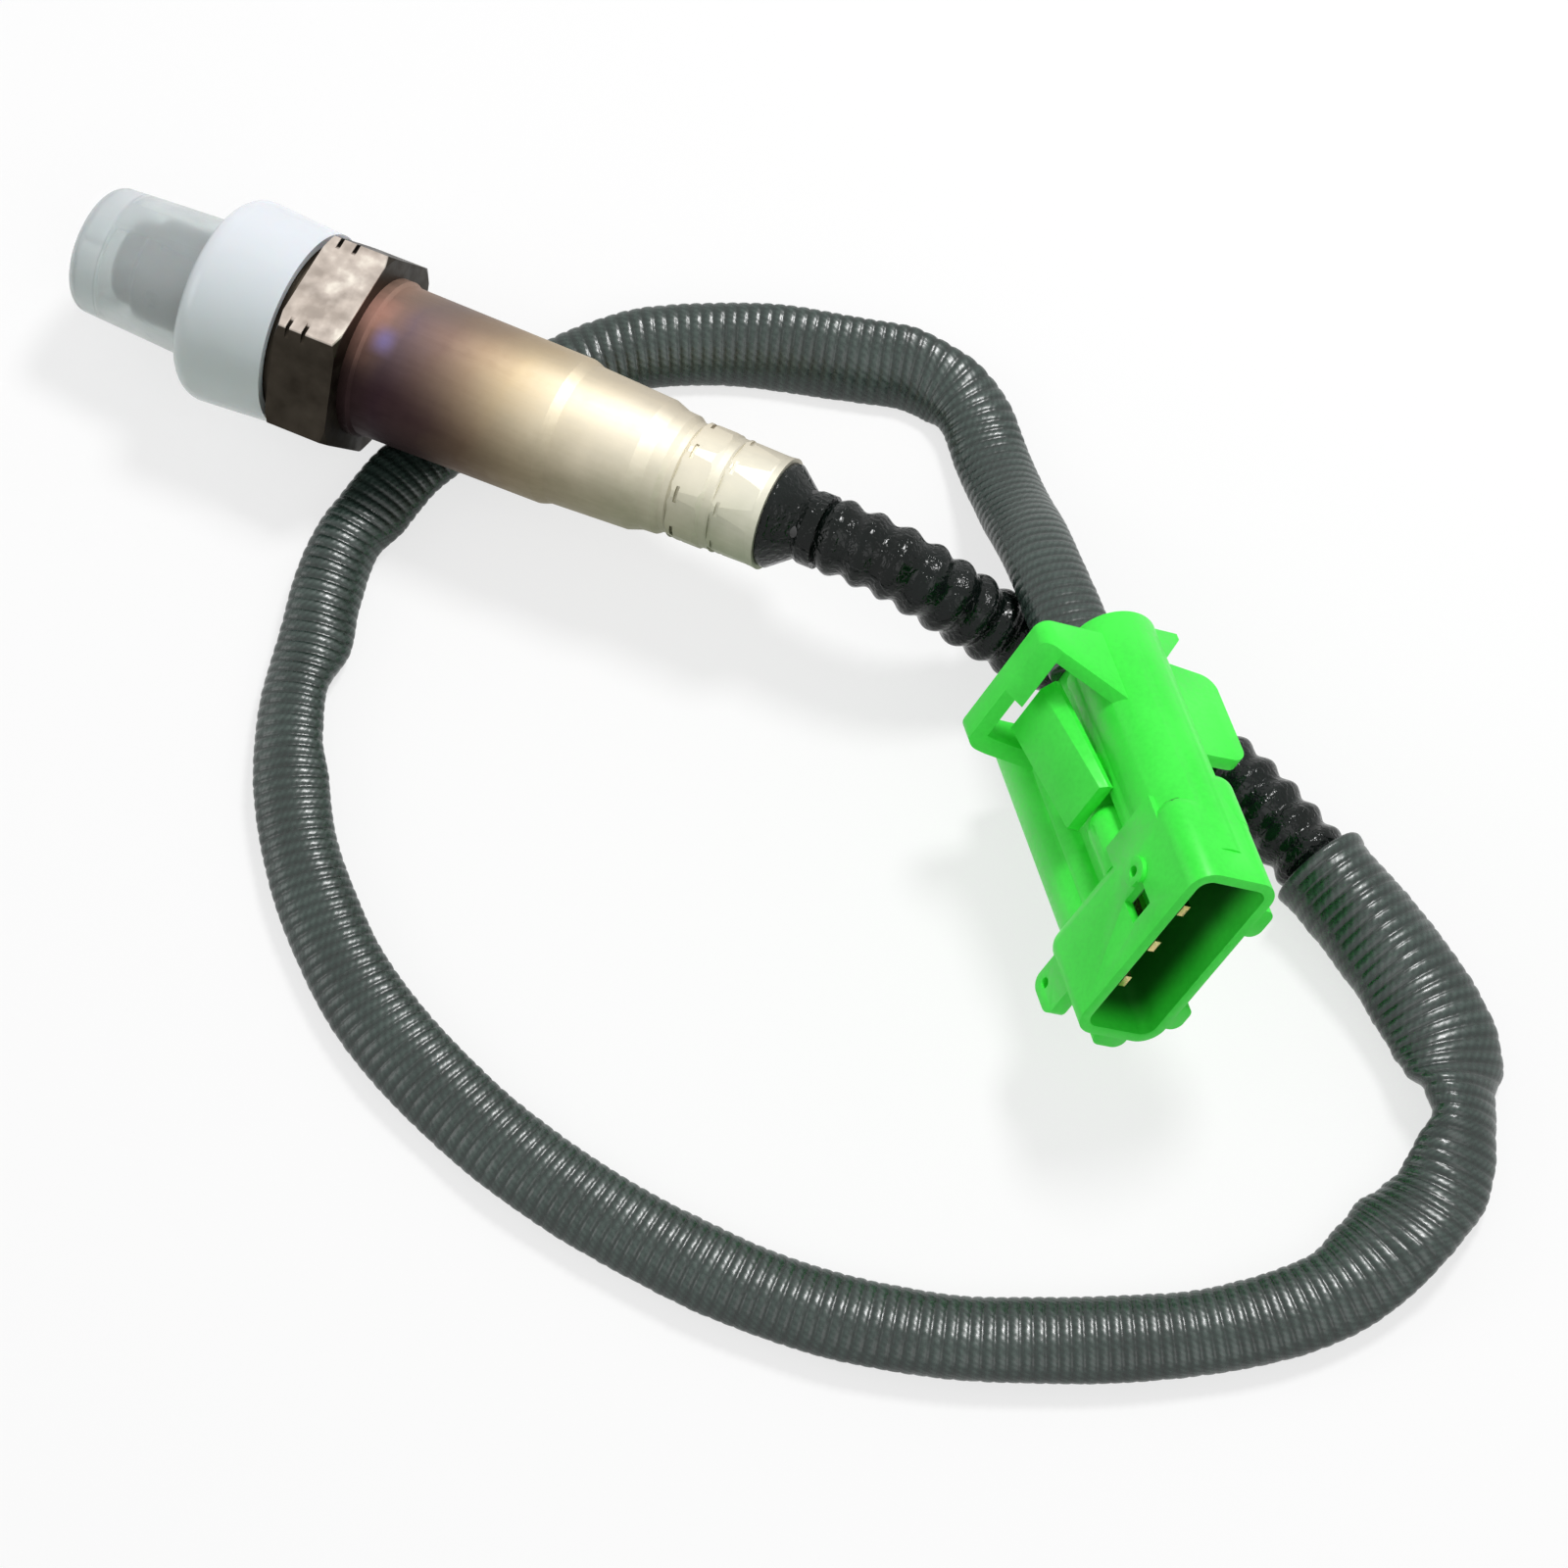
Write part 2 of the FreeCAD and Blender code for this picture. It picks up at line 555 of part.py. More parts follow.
def vent_filter():
    return rod(VENT_R, GROMMET_FRONT + SEAT, GROMMET_FRONT + VENT_LENGTH)


# Plug pieces, built in the plug's own frame
def way_positions():
    middle = (PLUG_WAYS - 1) / 2
    return [PLUG_ROW_MIDDLE + (index - middle) * PLUG_PITCH for index in range(PLUG_WAYS)]


def rounded_bar(x0, x1, half_width, half_height, radius, y=0.0, z=0.0):
    bar = block(x0, x1, y - half_width, y + half_width, z - half_height,
                z + half_height)
    long_edges = [e for e in bar.Edges if e.BoundBox.XMax - e.BoundBox.XMin > 0.5]
    return bar.makeFillet(radius, long_edges)


def soft_ended_bar(x0, x1, half_width, half_height, radius, end_round, y=0.0, z=0.0):
    """Rounded bar whose rear end is rounded too."""
    bar = rounded_bar(x0, x1, half_width, half_height, radius, y, z)
    return bar.makeFillet(end_round, edges_where(bar, lambda e: is_arc_at(e, x0)))


def plug_body_solid():
    """Outer form of the moulding behind and round the hood."""
    hood = soft_ended_bar(HOOD_BACK, PLUG_LENGTH, HOOD_WIDTH / 2, HOOD_HEIGHT / 2,
                          HOOD_ROUND, HOOD_END_ROUND)
    skirt = soft_ended_bar(HOOD_BACK - SKIRT_LENGTH, HOOD_BACK + 3.0, SKIRT_HALF_WIDTH,
                           SKIRT_HALF_HEIGHT, 2.4, 2.0, SKIRT_Y, -SKIRT_DROP)
    core = block(0, HOOD_BACK + 1, LOW_BULGE_Y, HIGH_BULGE_Y, BODY_BOTTOM, BODY_TOP)
    high = rod(HIGH_BULGE_R, 0, PLUG_LENGTH - 4, HIGH_BULGE_Y, 0)
    low = rod(LOW_BULGE_R, 0, PLUG_LENGTH - 4, LOW_BULGE_Y, 0)
    side_tube = rod(2.7, 3.0, HOOD_BACK + 1, 5.2, 1.9)
    low_tube = rod(2.2, 4.0, HOOD_BACK + 1, -5.6, 1.6)
    boss = rod(BOSS_R, BOSS_BACK, HOOD_BACK + 1, BOSS_Y, BOSS_Z)
    boss = boss.fuse(Part.makeSphere(BOSS_R, Vector(BOSS_BACK, BOSS_Y, BOSS_Z)))
    return hood.multiFuse([skirt, core, high, low, side_tube, low_tube, boss])


def latch_arch():
    """Guard loop that stands over the finger end of the latch lever."""
    front, back = ARCH_BACK + ARCH_BAR_LENGTH, ARCH_BACK
    low, high, top = ARCH_LOW_Y, ARCH_HIGH_Y, ARCH_TOP
    middle = (low + high) / 2
    loop = rounded_bar(back, front + 8, (high - low) / 2, top / 2, ARCH_ROUND, middle,
                       top / 2)
    window = block(back - 1, front + 9, low + ARCH_LOW_WALL, high - ARCH_HIGH_WALL, -1,
                   top - ARCH_BAR_HEIGHT)
    high_side = plate_xz([(back, 1), (back, top), (front, top), (front + 2.0, top - 1.4),
                          (front + 7.0, 4.0), (front + 7.0, 1)], middle, high + 1)
    low_side = plate_xz([(back, 1), (back, top), (front, top), (front + 0.8, top - 2.5),
                         (front + 2.2, 1)], low - 1, middle)
    return loop.cut(window).common(high_side.fuse(low_side))


def latch_lever():
    """Pressed lever of the latch: moulded on a neck, free at its rear end."""
    sections = []
    for x, z, low_y, bevel in ((LEVER_BACK, 7.5, -1.7, 1.5), (LEVER_FRONT, 4.6, -2.0, 0.4)):
        corners = [(low_y, 0.0), (low_y, 1.5), (4.4, 1.5), (4.4 + bevel, 0.6),
                   (4.4 + bevel, 0.0)]
        points = [Vector(x, y, z + h) for y, h in corners]
        sections.append(Part.makePolygon(points + points[:1]))
    lever = Part.makeLoft(sections, True, True)
    neck = plate_xz([(14.5, 2.0), (13.5, 6.2), (17.0, 5.6), (16.6, 2.0)], -1.4, 4.2)
    return lever.fuse(neck)


def plug_ear():
    """Round-cornered tab with a small hole, beside the hood."""
    ear = block(EAR_BACK, EAR_BACK + EAR_LENGTH, EAR_REACH_Y + EAR_ROUND, -11.0, 3.0, 4.8)
    tip = block(EAR_BACK + EAR_ROUND, EAR_BACK + EAR_LENGTH - EAR_ROUND, EAR_REACH_Y,
                -11.0, 3.0, 4.8)
    corners = []
    for x in (EAR_BACK + EAR_ROUND, EAR_BACK + EAR_LENGTH - EAR_ROUND):
        centre = Vector(x, EAR_REACH_Y + EAR_ROUND, 3.0)
        corners.append(Part.makeCylinder(EAR_ROUND, 1.8, centre, Z_AXIS))
    hole = Part.makeCylinder(0.6, 6, Vector(30.2, -14.1, 1.5), Z_AXIS)
    return ear.multiFuse([tip] + corners).cut(hole).removeSplitter()


def plug_trim():
    """Rail, ears, ribs and the small bosses of the moulding."""
    rail = plate_xz([(4.5, 0), (5.7, -RAIL_REACH), (18.0, -RAIL_REACH), (18.4, 0)],
                    9.4, 11.0)
    rail = rail.makeFillet(RAIL_ROUND, edges_where(
        rail, lambda e: e.BoundBox.ZMax < 0.01 - RAIL_REACH
        and e.BoundBox.XMax - e.BoundBox.XMin < 0.01))
    foot = rounded_bar(33.2, 37.0, 2.0, 2.0, 1.2, -12.9, -1.0)
    high_rib = rounded_bar(30.0, 36.6, 2.0, 2.2, 1.2, 5.8, -6.0)
    low_rib = rounded_bar(30.0, 36.6, 1.8, 2.2, 1.2, -9.4, -6.0)
    fin = plate_xz([(0, -2.0), (0, -6.5), (0.9, -6.5), (4.6, -3.4), (4.6, -2.0)],
                   9.6, 11.2)
    panel = block(25.0, HOOD_BACK + 3.0, 1.4, 9.6, 3.0, HOOD_HEIGHT / 2)
    boss = Part.makeCylinder(1.6, HOOD_HEIGHT / 2 - 2.5, Vector(30.9, 4.3, 3.0), Z_AXIS)
    return rail.multiFuse([plug_ear(), foot, high_rib, low_rib, fin, panel, boss])


def plug_cavities():
    """Hood opening, pin cavities, seal bores and the pocket of the rear cap."""
    inner_w = HOOD_WIDTH / 2 - HOOD_WALL
    inner_h = HOOD_HEIGHT / 2 - HOOD_WALL
    cuts = [rounded_bar(HOOD_BACK + HOOD_WALL, PLUG_LENGTH + 1, inner_w, inner_h,
                        HOOD_ROUND - HOOD_WALL)]
    cuts.append(rounded_bar(HOOD_FLOOR, HOOD_BACK + HOOD_WALL + 0.5,
                            SKIRT_HALF_WIDTH - HOOD_WALL, POCKET_HALF_HEIGHT, 1.2,
                            SKIRT_Y, -POCKET_DROP))
    cuts.append(retainer_plate(SLIP, -1))
    for y in way_positions():
        cuts.append(rod(SEAL_R + SLIP, -1, RETAINER_T + SLIP + SEAL_LENGTH + SEAT, y))
        cuts.append(rod(CAVITY_R, 0, HOOD_FLOOR - 3.0, y))
        cuts.append(block(HOOD_FLOOR - 4, HOOD_FLOOR + 1, y - PIN_WIDTH / 2 - SLIP,
                          y + PIN_WIDTH / 2 + SLIP, -PIN_THICKNESS / 2 - SLIP,
                          PIN_THICKNESS / 2 + SLIP))
    cuts.append(Part.makeCylinder(0.6, 2.0, Vector(30.9, 4.3, 4.4), Z_AXIS))
    cuts.append(block(32.2, 35.2, 1.2, 4.4, inner_h - 0.5, HOOD_HEIGHT))
    return Part.makeCompound(cuts)


def retainer_plate(grow, start):
    return rounded_bar(start, RETAINER_T + grow, 10.6 + grow, 2.6 + grow, 1.2,
                       PLUG_ROW_MIDDLE)


def plug_housing():
    body = plug_body_solid()
    body = body.multiFuse([latch_arch(), latch_lever(), plug_trim()])
    return body.cut(plug_cavities()).removeSplitter()


def contact_pin(y):
    tip = PLUG_LENGTH - PIN_RECESS
    crimp_start = RETAINER_T + SEAL_LENGTH + 0.8
    blade = block(crimp_start + 3.0, tip, y - PIN_WIDTH / 2, y + PIN_WIDTH / 2,
                  -PIN_THICKNESS / 2, PIN_THICKNESS / 2)
    tip_edges = [e for e in blade.Edges if is_arc_at(e, tip)]
    blade = blade.makeChamfer(0.3, tip_edges)
    box = rod(CAVITY_R - SLIP, crimp_start + 2.0, crimp_start + 8.0, y)
    barrel_r = CAVITY_R - SLIP
    barrel = rod(barrel_r, crimp_start, crimp_start + 2.5, y)
    barrel = barrel.cut(rod(WIRE_R + SLIP, crimp_start - 1, crimp_start + 2.0, y))
    return blade.multiFuse([box, barrel]).removeSplitter()


def wire_seal(y):
    start = RETAINER_T + SLIP + SLIP
    length = SEAL_LENGTH - SLIP
    waist = SEAL_R - 0.35
    profile = [(start, WIRE_R + SLIP)]
    for index in range(3):
        left = start + index * length / 3
        profile += [(left, waist), (left + length / 12, SEAL_R),
                    (left + length / 6, SEAL_R), (left + length / 4, waist)]
    profile += [(start + length, waist), (start + length, WIRE_R + SLIP)]
    seal = turned(profile)
    seal.translate(Vector(0, y, 0))
    return seal


def seal_retainer():
    plate = retainer_plate(0, 0)
    holes = [rod(WIRE_R + SEAT, -1, RETAINER_T + 1, y) for y in way_positions()]
    return plate.cut(Part.makeCompound(holes))


def plug_wire(y):
    return rod(WIRE_R, SLIP, RETAINER_T + SEAL_LENGTH + 0.8 + 2.0 - SLIP, y)


# Cable
def stadium(centre, along, width, height):
    """Flat-sided oval face across the cable, its flats level."""
    across = along.cross(Z_AXIS).normalize()
    up = across.cross(along).normalize()
    half_flat = (width - height) / 2
    radius = height / 2
    corners = [centre + across * s * half_flat + up * t * radius
               for s, t in ((-1, 1), (1, 1), (1, -1), (-1, -1))]
    right_tip = centre + across * (half_flat + radius)
    left_tip = centre - across * (half_flat + radius)
    edges = [Part.LineSegment(corners[0], corners[1]),
             Part.Arc(corners[1], right_tip, corners[2]),
             Part.LineSegment(corners[2], corners[3]),
             Part.Arc(corners[3], left_tip, corners[0])]
    return Part.Face(Part.Wire([edge.toShape() for edge in edges]))


def disc(centre, along, diameter):
    return Part.Face(Part.Wire(Part.makeCircle(diameter / 2, centre, along)))


def cable_tube(name, route, section, area):
    """Straight runs joined by tangent arcs: prints each arc's radius."""
    points = [Vector(*point) for point in route]
    solids = []
    length = 0.0
    radii = []
    here = points[0]
    for index in range(1, len(points) - 1):
        corner = points[index]
        run_in = corner - points[index - 1]
        run_out = points[index + 1] - corner
        d_in = Vector(run_in).normalize()
        d_out = Vector(run_out).normalize()
        turn = d_in.getAngle(d_out)
        tangent = ARC_SHARE * min(run_in.Length, run_out.Length)
        radius = tangent / math.tan(turn / 2)
        radii.append(radius)
        start = corner - d_in * tangent
        normal = d_in.cross(d_out).normalize()
        centre = start + normal.cross(d_in) * radius
        face = section(here, d_in)
        solids.append(face.extrude(start - here))
        solids.append(section(start, d_in).revolve(centre, normal, math.degrees(turn)))
        length += (start - here).Length + radius * turn
        here = corner + d_out * tangent
    last = points[-1]
    solids.append(section(here, (last - here).normalize()).extrude(last - here))
    length += (last - here).Length
    tube = solids[0].multiFuse(solids[1:]).removeSplitter()
    print(name, "length %.1f" % length, "volume %.1f" % tube.Volume,
          "section x length %.1f" % (area * length), "solids", len(tube.Solids))
    print(name, "arc radii", " ".join("%.1f" % radius for radius in radii))
    return tube


def corrugated_conduit():
    area = math.pi * CONDUIT_D ** 2 / 4
    return cable_tube("corrugated_conduit", CONDUIT_ROUTE,
                      lambda p, d: disc(p, d, CONDUIT_D), area)


def woven_sleeve():
    route = [(x, y, WOVEN_Z) for x, y in WOVEN_LEVEL_ROUTE] + WOVEN_RISE_ROUTE
    area = (math.pi * WOVEN_HEIGHT ** 2 / 4
            + (WOVEN_WIDTH - WOVEN_HEIGHT) * WOVEN_HEIGHT)
    return cable_tube("woven_sleeve", route,
                      lambda p, d: stadium(p, d, WOVEN_WIDTH, WOVEN_HEIGHT), area)


# Where the pieces lie
def sensor_placement():
    """Collar on the surface, crimped end raised by the tilt."""
    tilt = math.radians(SENSOR_TILT_DEG)
    taper = math.atan2(COLLAR_R - COLLAR_END_R, -COLLAR_END_GAP - CAP_NECK_STATION)
    round_station = CAP_NECK_STATION + COLLAR_ROUND
    round_r = COLLAR_R - COLLAR_ROUND * (math.tan(taper) + 1 / math.cos(taper))
    lift = round_r * math.cos(tilt) + COLLAR_ROUND - round_station * math.sin(tilt)
    shift = -SENSOR_MIDDLE_STATION * math.cos(tilt)
    return FreeCAD.Placement(Vector(shift, 0, lift), Rotation(Y_AXIS, -SENSOR_TILT_DEG))


def plug_placement():
    turn = Rotation(PLUG_YAW_DEG, -PLUG_PITCH_DEG, PLUG_ROLL_DEG)
    return FreeCAD.Placement(PLUG_AT, turn)


def save(name, shape, placement=None):
    if len(shape.Solids) == 1:
        shape = shape.Solids[0]
    if placement is not None:
        shape.Placement = placement.multiply(shape.Placement)
    box = shape.BoundBox
    print("%-24s solids %d valid %s volume %.1f  x %.2f..%.2f y %.2f..%.2f z %.2f..%.2f"
          % (name, len(shape.Solids), shape.isValid(), shape.Volume, box.XMin, box.XMax,
             box.YMin, box.YMax, box.ZMin, box.ZMax))
    shape.exportStep("parts/%s.step" % name)


WIRE_SIDES = [(1, 1), (-1, 1), (-1, -1), (1, -1)]


def main():
    os.makedirs("parts", exist_ok=True)
    lying = sensor_placement()
    sensor_pieces = {
        "protective_cap": protective_cap(),
        "outer_protection_tube": outer_protection_tube(),
        "inner_protection_tube": inner_protection_tube(),
        "sealing_ring": sealing_ring(),
        "sensor_housing": sensor_housing(),
        "sensing_element": sensing_element(),
        "lower_ceramic_support": ceramic_disc(STACK_FRONT, TALC_FRONT, CORE_R - SLIP),
        "talc_packing": ceramic_disc(TALC_FRONT, BUSH_FRONT, CORE_R - SLIP),
        "upper_ceramic_bush": ceramic_disc(BUSH_FRONT, BUSH_BACK, CORE_R - SLIP),
        "spring_washer": spring_washer(),
        "protective_sleeve": protective_sleeve(),
        "contact_holder_top": contact_holder_half(1),
        "contact_holder_bottom": contact_holder_half(-1),
        "holder_clamp_ring": holder_clamp_ring(),
        "rubber_grommet": rubber_grommet(),
        "vent_filter": vent_filter(),
    }
    for index, (y_side, z_side) in enumerate(WIRE_SIDES):
        sensor_pieces["contact_clip_%d" % (index + 1)] = contact_clip(y_side, z_side)
        sensor_pieces["sensor_wire_%d" % (index + 1)] = sensor_wire(y_side, z_side)
    for name, shape in sensor_pieces.items():
        save(name, shape, lying)

    plugged = plug_placement()
    save("plug_housing", plug_housing(), plugged)
    save("seal_retainer", seal_retainer(), plugged)
    for index, y in enumerate(way_positions()):
        save("contact_pin_%d" % (index + 1), contact_pin(y), plugged)
        save("wire_seal_%d" % (index + 1), wire_seal(y), plugged)
        save("plug_wire_%d" % (index + 1), plug_wire(y), plugged)

    save("corrugated_conduit", corrugated_conduit())
    save("woven_sleeve", woven_sleeve())


main()
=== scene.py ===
# %% [markdown]
# # An oxygen sensor with its looped cable
# The object is an exhaust oxygen sensor as it is sold: a steel body with a push-on cap
# over its probe, a ribbed conduit, a woven sleeve looped round under the body, and a
# green plug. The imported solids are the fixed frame. This lesson dresses them: it makes
# the soft cable pieces as new meshes, and gives every piece a finish made of nodes.

# %% Load the frame
import math

import bpy
import bmesh
from mathutils import Matrix, Vector, noise


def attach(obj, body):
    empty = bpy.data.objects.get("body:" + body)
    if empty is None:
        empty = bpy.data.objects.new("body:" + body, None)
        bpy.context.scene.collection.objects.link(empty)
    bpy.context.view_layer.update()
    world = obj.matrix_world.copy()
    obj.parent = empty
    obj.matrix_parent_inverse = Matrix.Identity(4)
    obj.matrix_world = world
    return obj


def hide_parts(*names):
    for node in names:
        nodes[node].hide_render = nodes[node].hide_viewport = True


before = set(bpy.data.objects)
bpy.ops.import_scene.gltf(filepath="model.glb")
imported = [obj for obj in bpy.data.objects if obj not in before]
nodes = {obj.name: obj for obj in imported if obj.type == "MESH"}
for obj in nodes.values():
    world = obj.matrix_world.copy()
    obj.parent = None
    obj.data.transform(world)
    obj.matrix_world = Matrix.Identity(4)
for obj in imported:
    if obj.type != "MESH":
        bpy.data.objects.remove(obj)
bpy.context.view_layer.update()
MM = 0.001

# %% [markdown]
# ## Shader maths in plain Python
# A finish varies over its surface, so it is a small sum of noises and masks. Typing those
# as Math nodes is slow to read, and wiring them by hand hides what they say. Here one
# class wraps a socket and overloads Python's operators, so that `1 - mask` adds the node
# for it. A second class holds a material, and one method of it adds any other node.

# %% A value on a surface
class Level:
    """A number that varies over a surface. Python's operators add Math nodes."""

    def __init__(self, finish, socket):
        self.finish, self.socket = finish, socket

    def math(self, operation, first, second=0.0, clamp=False):
        return self.finish.add("Math", {"operation": operation, "use_clamp": clamp},
                               {0: first, 1: second})

    def __add__(self, other): return self.math("ADD", self, other)
    def __radd__(self, other): return self.math("ADD", other, self)
    def __sub__(self, other): return self.math("SUBTRACT", self, other)
    def __rsub__(self, other): return self.math("SUBTRACT", other, self)
    def __mul__(self, other): return self.math("MULTIPLY", self, other)
    def __rmul__(self, other): return self.math("MULTIPLY", other, self)
    def __truediv__(self, other): return self.math("DIVIDE", self, other)

    def held(self): return self.math("ADD", self, 0.0, clamp=True)
    def sine(self): return self.math("SINE", self)
    def size(self): return self.math("ABSOLUTE", self)
    def most(self, other): return self.math("MAXIMUM", self, other)

    def between(self, low, high, start=0.0, end=1.0):
        """Smooth step from start to end as the value goes from low to high."""
        return self.finish.add("MapRange", {"interpolation_type": "SMOOTHSTEP"},
                               {"Value": self, "From Min": low, "From Max": high,
                                "To Min": start, "To Max": end})


print("operators on a level: + - * /")

# %% A finish
class Finish:
    """A material with one main shader, and one method that adds nodes."""

    def __init__(self, name, constants):
        self.material = bpy.data.materials.new(name)
        self.material.use_nodes = True
        self.tree = self.material.node_tree
        self.shader = self.tree.nodes["Principled BSDF"]
        self.feed(self.shader, constants)

    def feed(self, node, values):
        """Sets each named socket, or links a level to it."""
        for key, value in values.items():
            socket = node.inputs[key]
            if isinstance(value, Level):
                self.tree.links.new(value.socket, socket)
            else:
                socket.default_value = value

    def add(self, kind, settings=None, values=None, output=0):
        node = self.tree.nodes.new("ShaderNode" + kind)
        for key, value in (settings or {}).items():
            if key == "stops":
                self.set_stops(node.color_ramp, value)
            else:
                setattr(node, key, value)
        self.feed(node, values or {})
        return Level(self, node.outputs[output])

    def set_stops(self, ramp, stops):
        while len(ramp.elements) < len(stops):
            ramp.elements.new(0.5)
        for element, (place, colour) in zip(ramp.elements, stops):
            element.position = place
            element.color = (*colour, 1.0)

    def place(self):
        return self.add("TexCoord", output="Object")

    def noise(self, scale, detail=3.0):
        """Cloudy noise from 0 to 1. The scale counts its waves in a metre."""
        return self.add("TexNoise", {}, {"Vector": self.place(), "Scale": scale,
                                         "Detail": detail})

    def along(self, axis, origin):
        """Distance in metres along an axis, measured from a point."""
        moved = self.add("VectorMath", {"operation": "SUBTRACT"},
                         {0: self.place(), 1: origin})
        return self.add("VectorMath", {"operation": "DOT_PRODUCT"}, {0: moved, 1: axis},
                        output="Value")

    def ramp(self, value, stops):
        return self.add("ValToRGB", {"stops": stops}, {"Fac": value})

    def blend(self, factor, first, second):
        return self.add("Mix", {"data_type": "RGBA"}, {0: factor, 6: first, 7: second},
                        output=2)

    def bump(self, height, strength, distance):
        return self.add("Bump", {}, {"Height": height, "Strength": strength,
                                     "Distance": distance})

    def finish(self, **varying):
        """Feeds the main shader. An underscore in a name stands for a space."""
        self.feed(self.shader, {key.replace("_", " "): value
                                for key, value in varying.items()})
        return self.material


print("materials before the first finish:", len(bpy.data.materials))

# %% [markdown]
# ## Floor and sky
# The photograph shows the object alone on white. More light would make the floor white
# too, but it would wash out the object. So the floor and the sky look white only to the
# rays that show them, which are the camera's rays and those that metal and the clear cap
# send on, and they light the object at a plain level. The floor keeps the soft shadow.

# %% Floor
WHITE = (1.0, 1.0, 1.0, 1.0)
FLOOR_PAINT = (0.90, 0.90, 0.90, 1.0)
FLOOR_SIZE = 3.0
FLOOR_GLOW = 0.72


def white_where_seen(tree):
    """1 for rays that show the background: the camera's, mirrored and seen through."""
    path = tree.nodes.new("ShaderNodeLightPath")
    seen = path.outputs["Is Camera Ray"]
    for kind in ("Is Glossy Ray", "Is Transmission Ray"):
        either = tree.nodes.new("ShaderNodeMath")
        either.operation = "MAXIMUM"
        tree.links.new(seen, either.inputs[0])
        tree.links.new(path.outputs[kind], either.inputs[1])
        seen = either.outputs[0]
    return seen


def floor_material():
    material = bpy.data.materials.new("pale_floor")
    material.use_nodes = True
    tree = material.node_tree
    tree.nodes.clear()
    out = tree.nodes.new("ShaderNodeOutputMaterial")
    mix = tree.nodes.new("ShaderNodeMixShader")
    paint = tree.nodes.new("ShaderNodeBsdfDiffuse")
    paint.inputs["Color"].default_value = FLOOR_PAINT
    glow = tree.nodes.new("ShaderNodeEmission")
    glow.inputs["Color"].default_value = WHITE
    share = tree.nodes.new("ShaderNodeMath")
    share.operation = "MULTIPLY"
    share.inputs[1].default_value = FLOOR_GLOW
    tree.links.new(white_where_seen(tree), share.inputs[0])
    tree.links.new(share.outputs[0], mix.inputs["Fac"])
    tree.links.new(paint.outputs[0], mix.inputs[1])
    tree.links.new(glow.outputs[0], mix.inputs[2])
    tree.links.new(mix.outputs[0], out.inputs["Surface"])
    return material


bpy.ops.mesh.primitive_plane_add(size=FLOOR_SIZE, location=(0, 0, 0))
floor = bpy.context.object
floor.name = "floor"
floor.data.materials.append(floor_material())
print("floor:", FLOOR_SIZE, "m wide")

# %% Sky
SKY_STRENGTH = 0.44


def studio_sky():
    world = bpy.data.worlds.new("studio_sky")
    world.use_nodes = True
    tree = world.node_tree
    tree.nodes.clear()
    out = tree.nodes.new("ShaderNodeOutputWorld")
    mix = tree.nodes.new("ShaderNodeMixShader")
    light = tree.nodes.new("ShaderNodeBackground")
    light.inputs["Strength"].default_value = SKY_STRENGTH
    seen = tree.nodes.new("ShaderNodeBackground")
    seen.inputs["Color"].default_value = WHITE
    seen.inputs["Strength"].default_value = 1.0
    tree.links.new(white_where_seen(tree), mix.inputs["Fac"])
    tree.links.new(light.outputs[0], mix.inputs[1])
    tree.links.new(seen.outputs[0], mix.inputs[2])
    tree.links.new(mix.outputs[0], out.inputs["Surface"])
    return world


bpy.context.scene.world = studio_sky()
bpy.context.scene.view_settings.view_transform = "Standard"
print("sky strength:", SKY_STRENGTH)

# %% [markdown]
# ## Lamps and camera
# The highlights in the photograph are small and sharp on the cable's rings, so the key
# lamp is a small disk, high on the far side. Two larger and weaker disks fill the near
# side and the edges. The camera looks down from the front, at the turn, height and lens
# that were fitted to the outlines in the photograph.

# %% Lamps
LIT_SPOT = (0.05, -0.02, 0.0)
# name: place in metres, width in metres, watts
LAMPS = {
    "key_lamp": ((0.11, 0.31, 0.60), 0.16, 3.0),
    "fill_lamp": ((0.55, -0.35, 0.70), 0.60, 1.1),
    "edge_lamp": ((-0.55, -0.25, 0.35), 0.40, 0.7),
}


def soft_lamp(name, spot, size, watts):
    lamp = bpy.data.lights.new(name, "AREA")
    lamp.shape = "DISK"
    lamp.size = size
    lamp.energy = watts
    holder = bpy.data.objects.new(name, lamp)
    holder.location = spot
    aim = Vector(LIT_SPOT) - Vector(spot)
    holder.rotation_euler = aim.to_track_quat("-Z", "Y").to_euler()
    bpy.context.collection.objects.link(holder)


for name, (spot, size, watts) in LAMPS.items():
    soft_lamp(name, spot, size, watts)
print("lamps:", ", ".join(LAMPS))

# %% Camera
CAMERA_TARGET = Vector((51.38, -21.87, 0.0)) * MM
CAMERA_DISTANCE = 0.500
CAMERA_ELEVATION = math.radians(64.0)
CAMERA_TURN = math.radians(26.24)
CAMERA_LENS = 104.5
CAMERA_SENSOR = 36.0
CAMERA_CLIP = 0.01

camera_data = bpy.data.cameras.new("camera")
camera_data.lens = CAMERA_LENS
camera_data.sensor_width = CAMERA_SENSOR
camera_data.clip_start = CAMERA_CLIP
camera = bpy.data.objects.new("camera", camera_data)
away = Vector((math.sin(CAMERA_TURN) * math.cos(CAMERA_ELEVATION),
               -math.cos(CAMERA_TURN) * math.cos(CAMERA_ELEVATION),
               math.sin(CAMERA_ELEVATION)))
camera.location = CAMERA_TARGET + away * CAMERA_DISTANCE
camera.rotation_euler = (-away).to_track_quat("-Z", "Y").to_euler()
bpy.context.collection.objects.link(camera)
bpy.context.scene.camera = camera
print("camera at", [round(value, 4) for value in camera.location])

# %% [markdown]
# ## The cable's line
# The cable leaves the sensor as a ribbed conduit that drops to the table, goes on as a
# woven sleeve, and comes back to the plug. A cable bends smoothly, so each of the two is
# one NURBS spline, and not straight runs with rounded corners. Its control points are
# the ones that the solid tubes were made from, in metres.

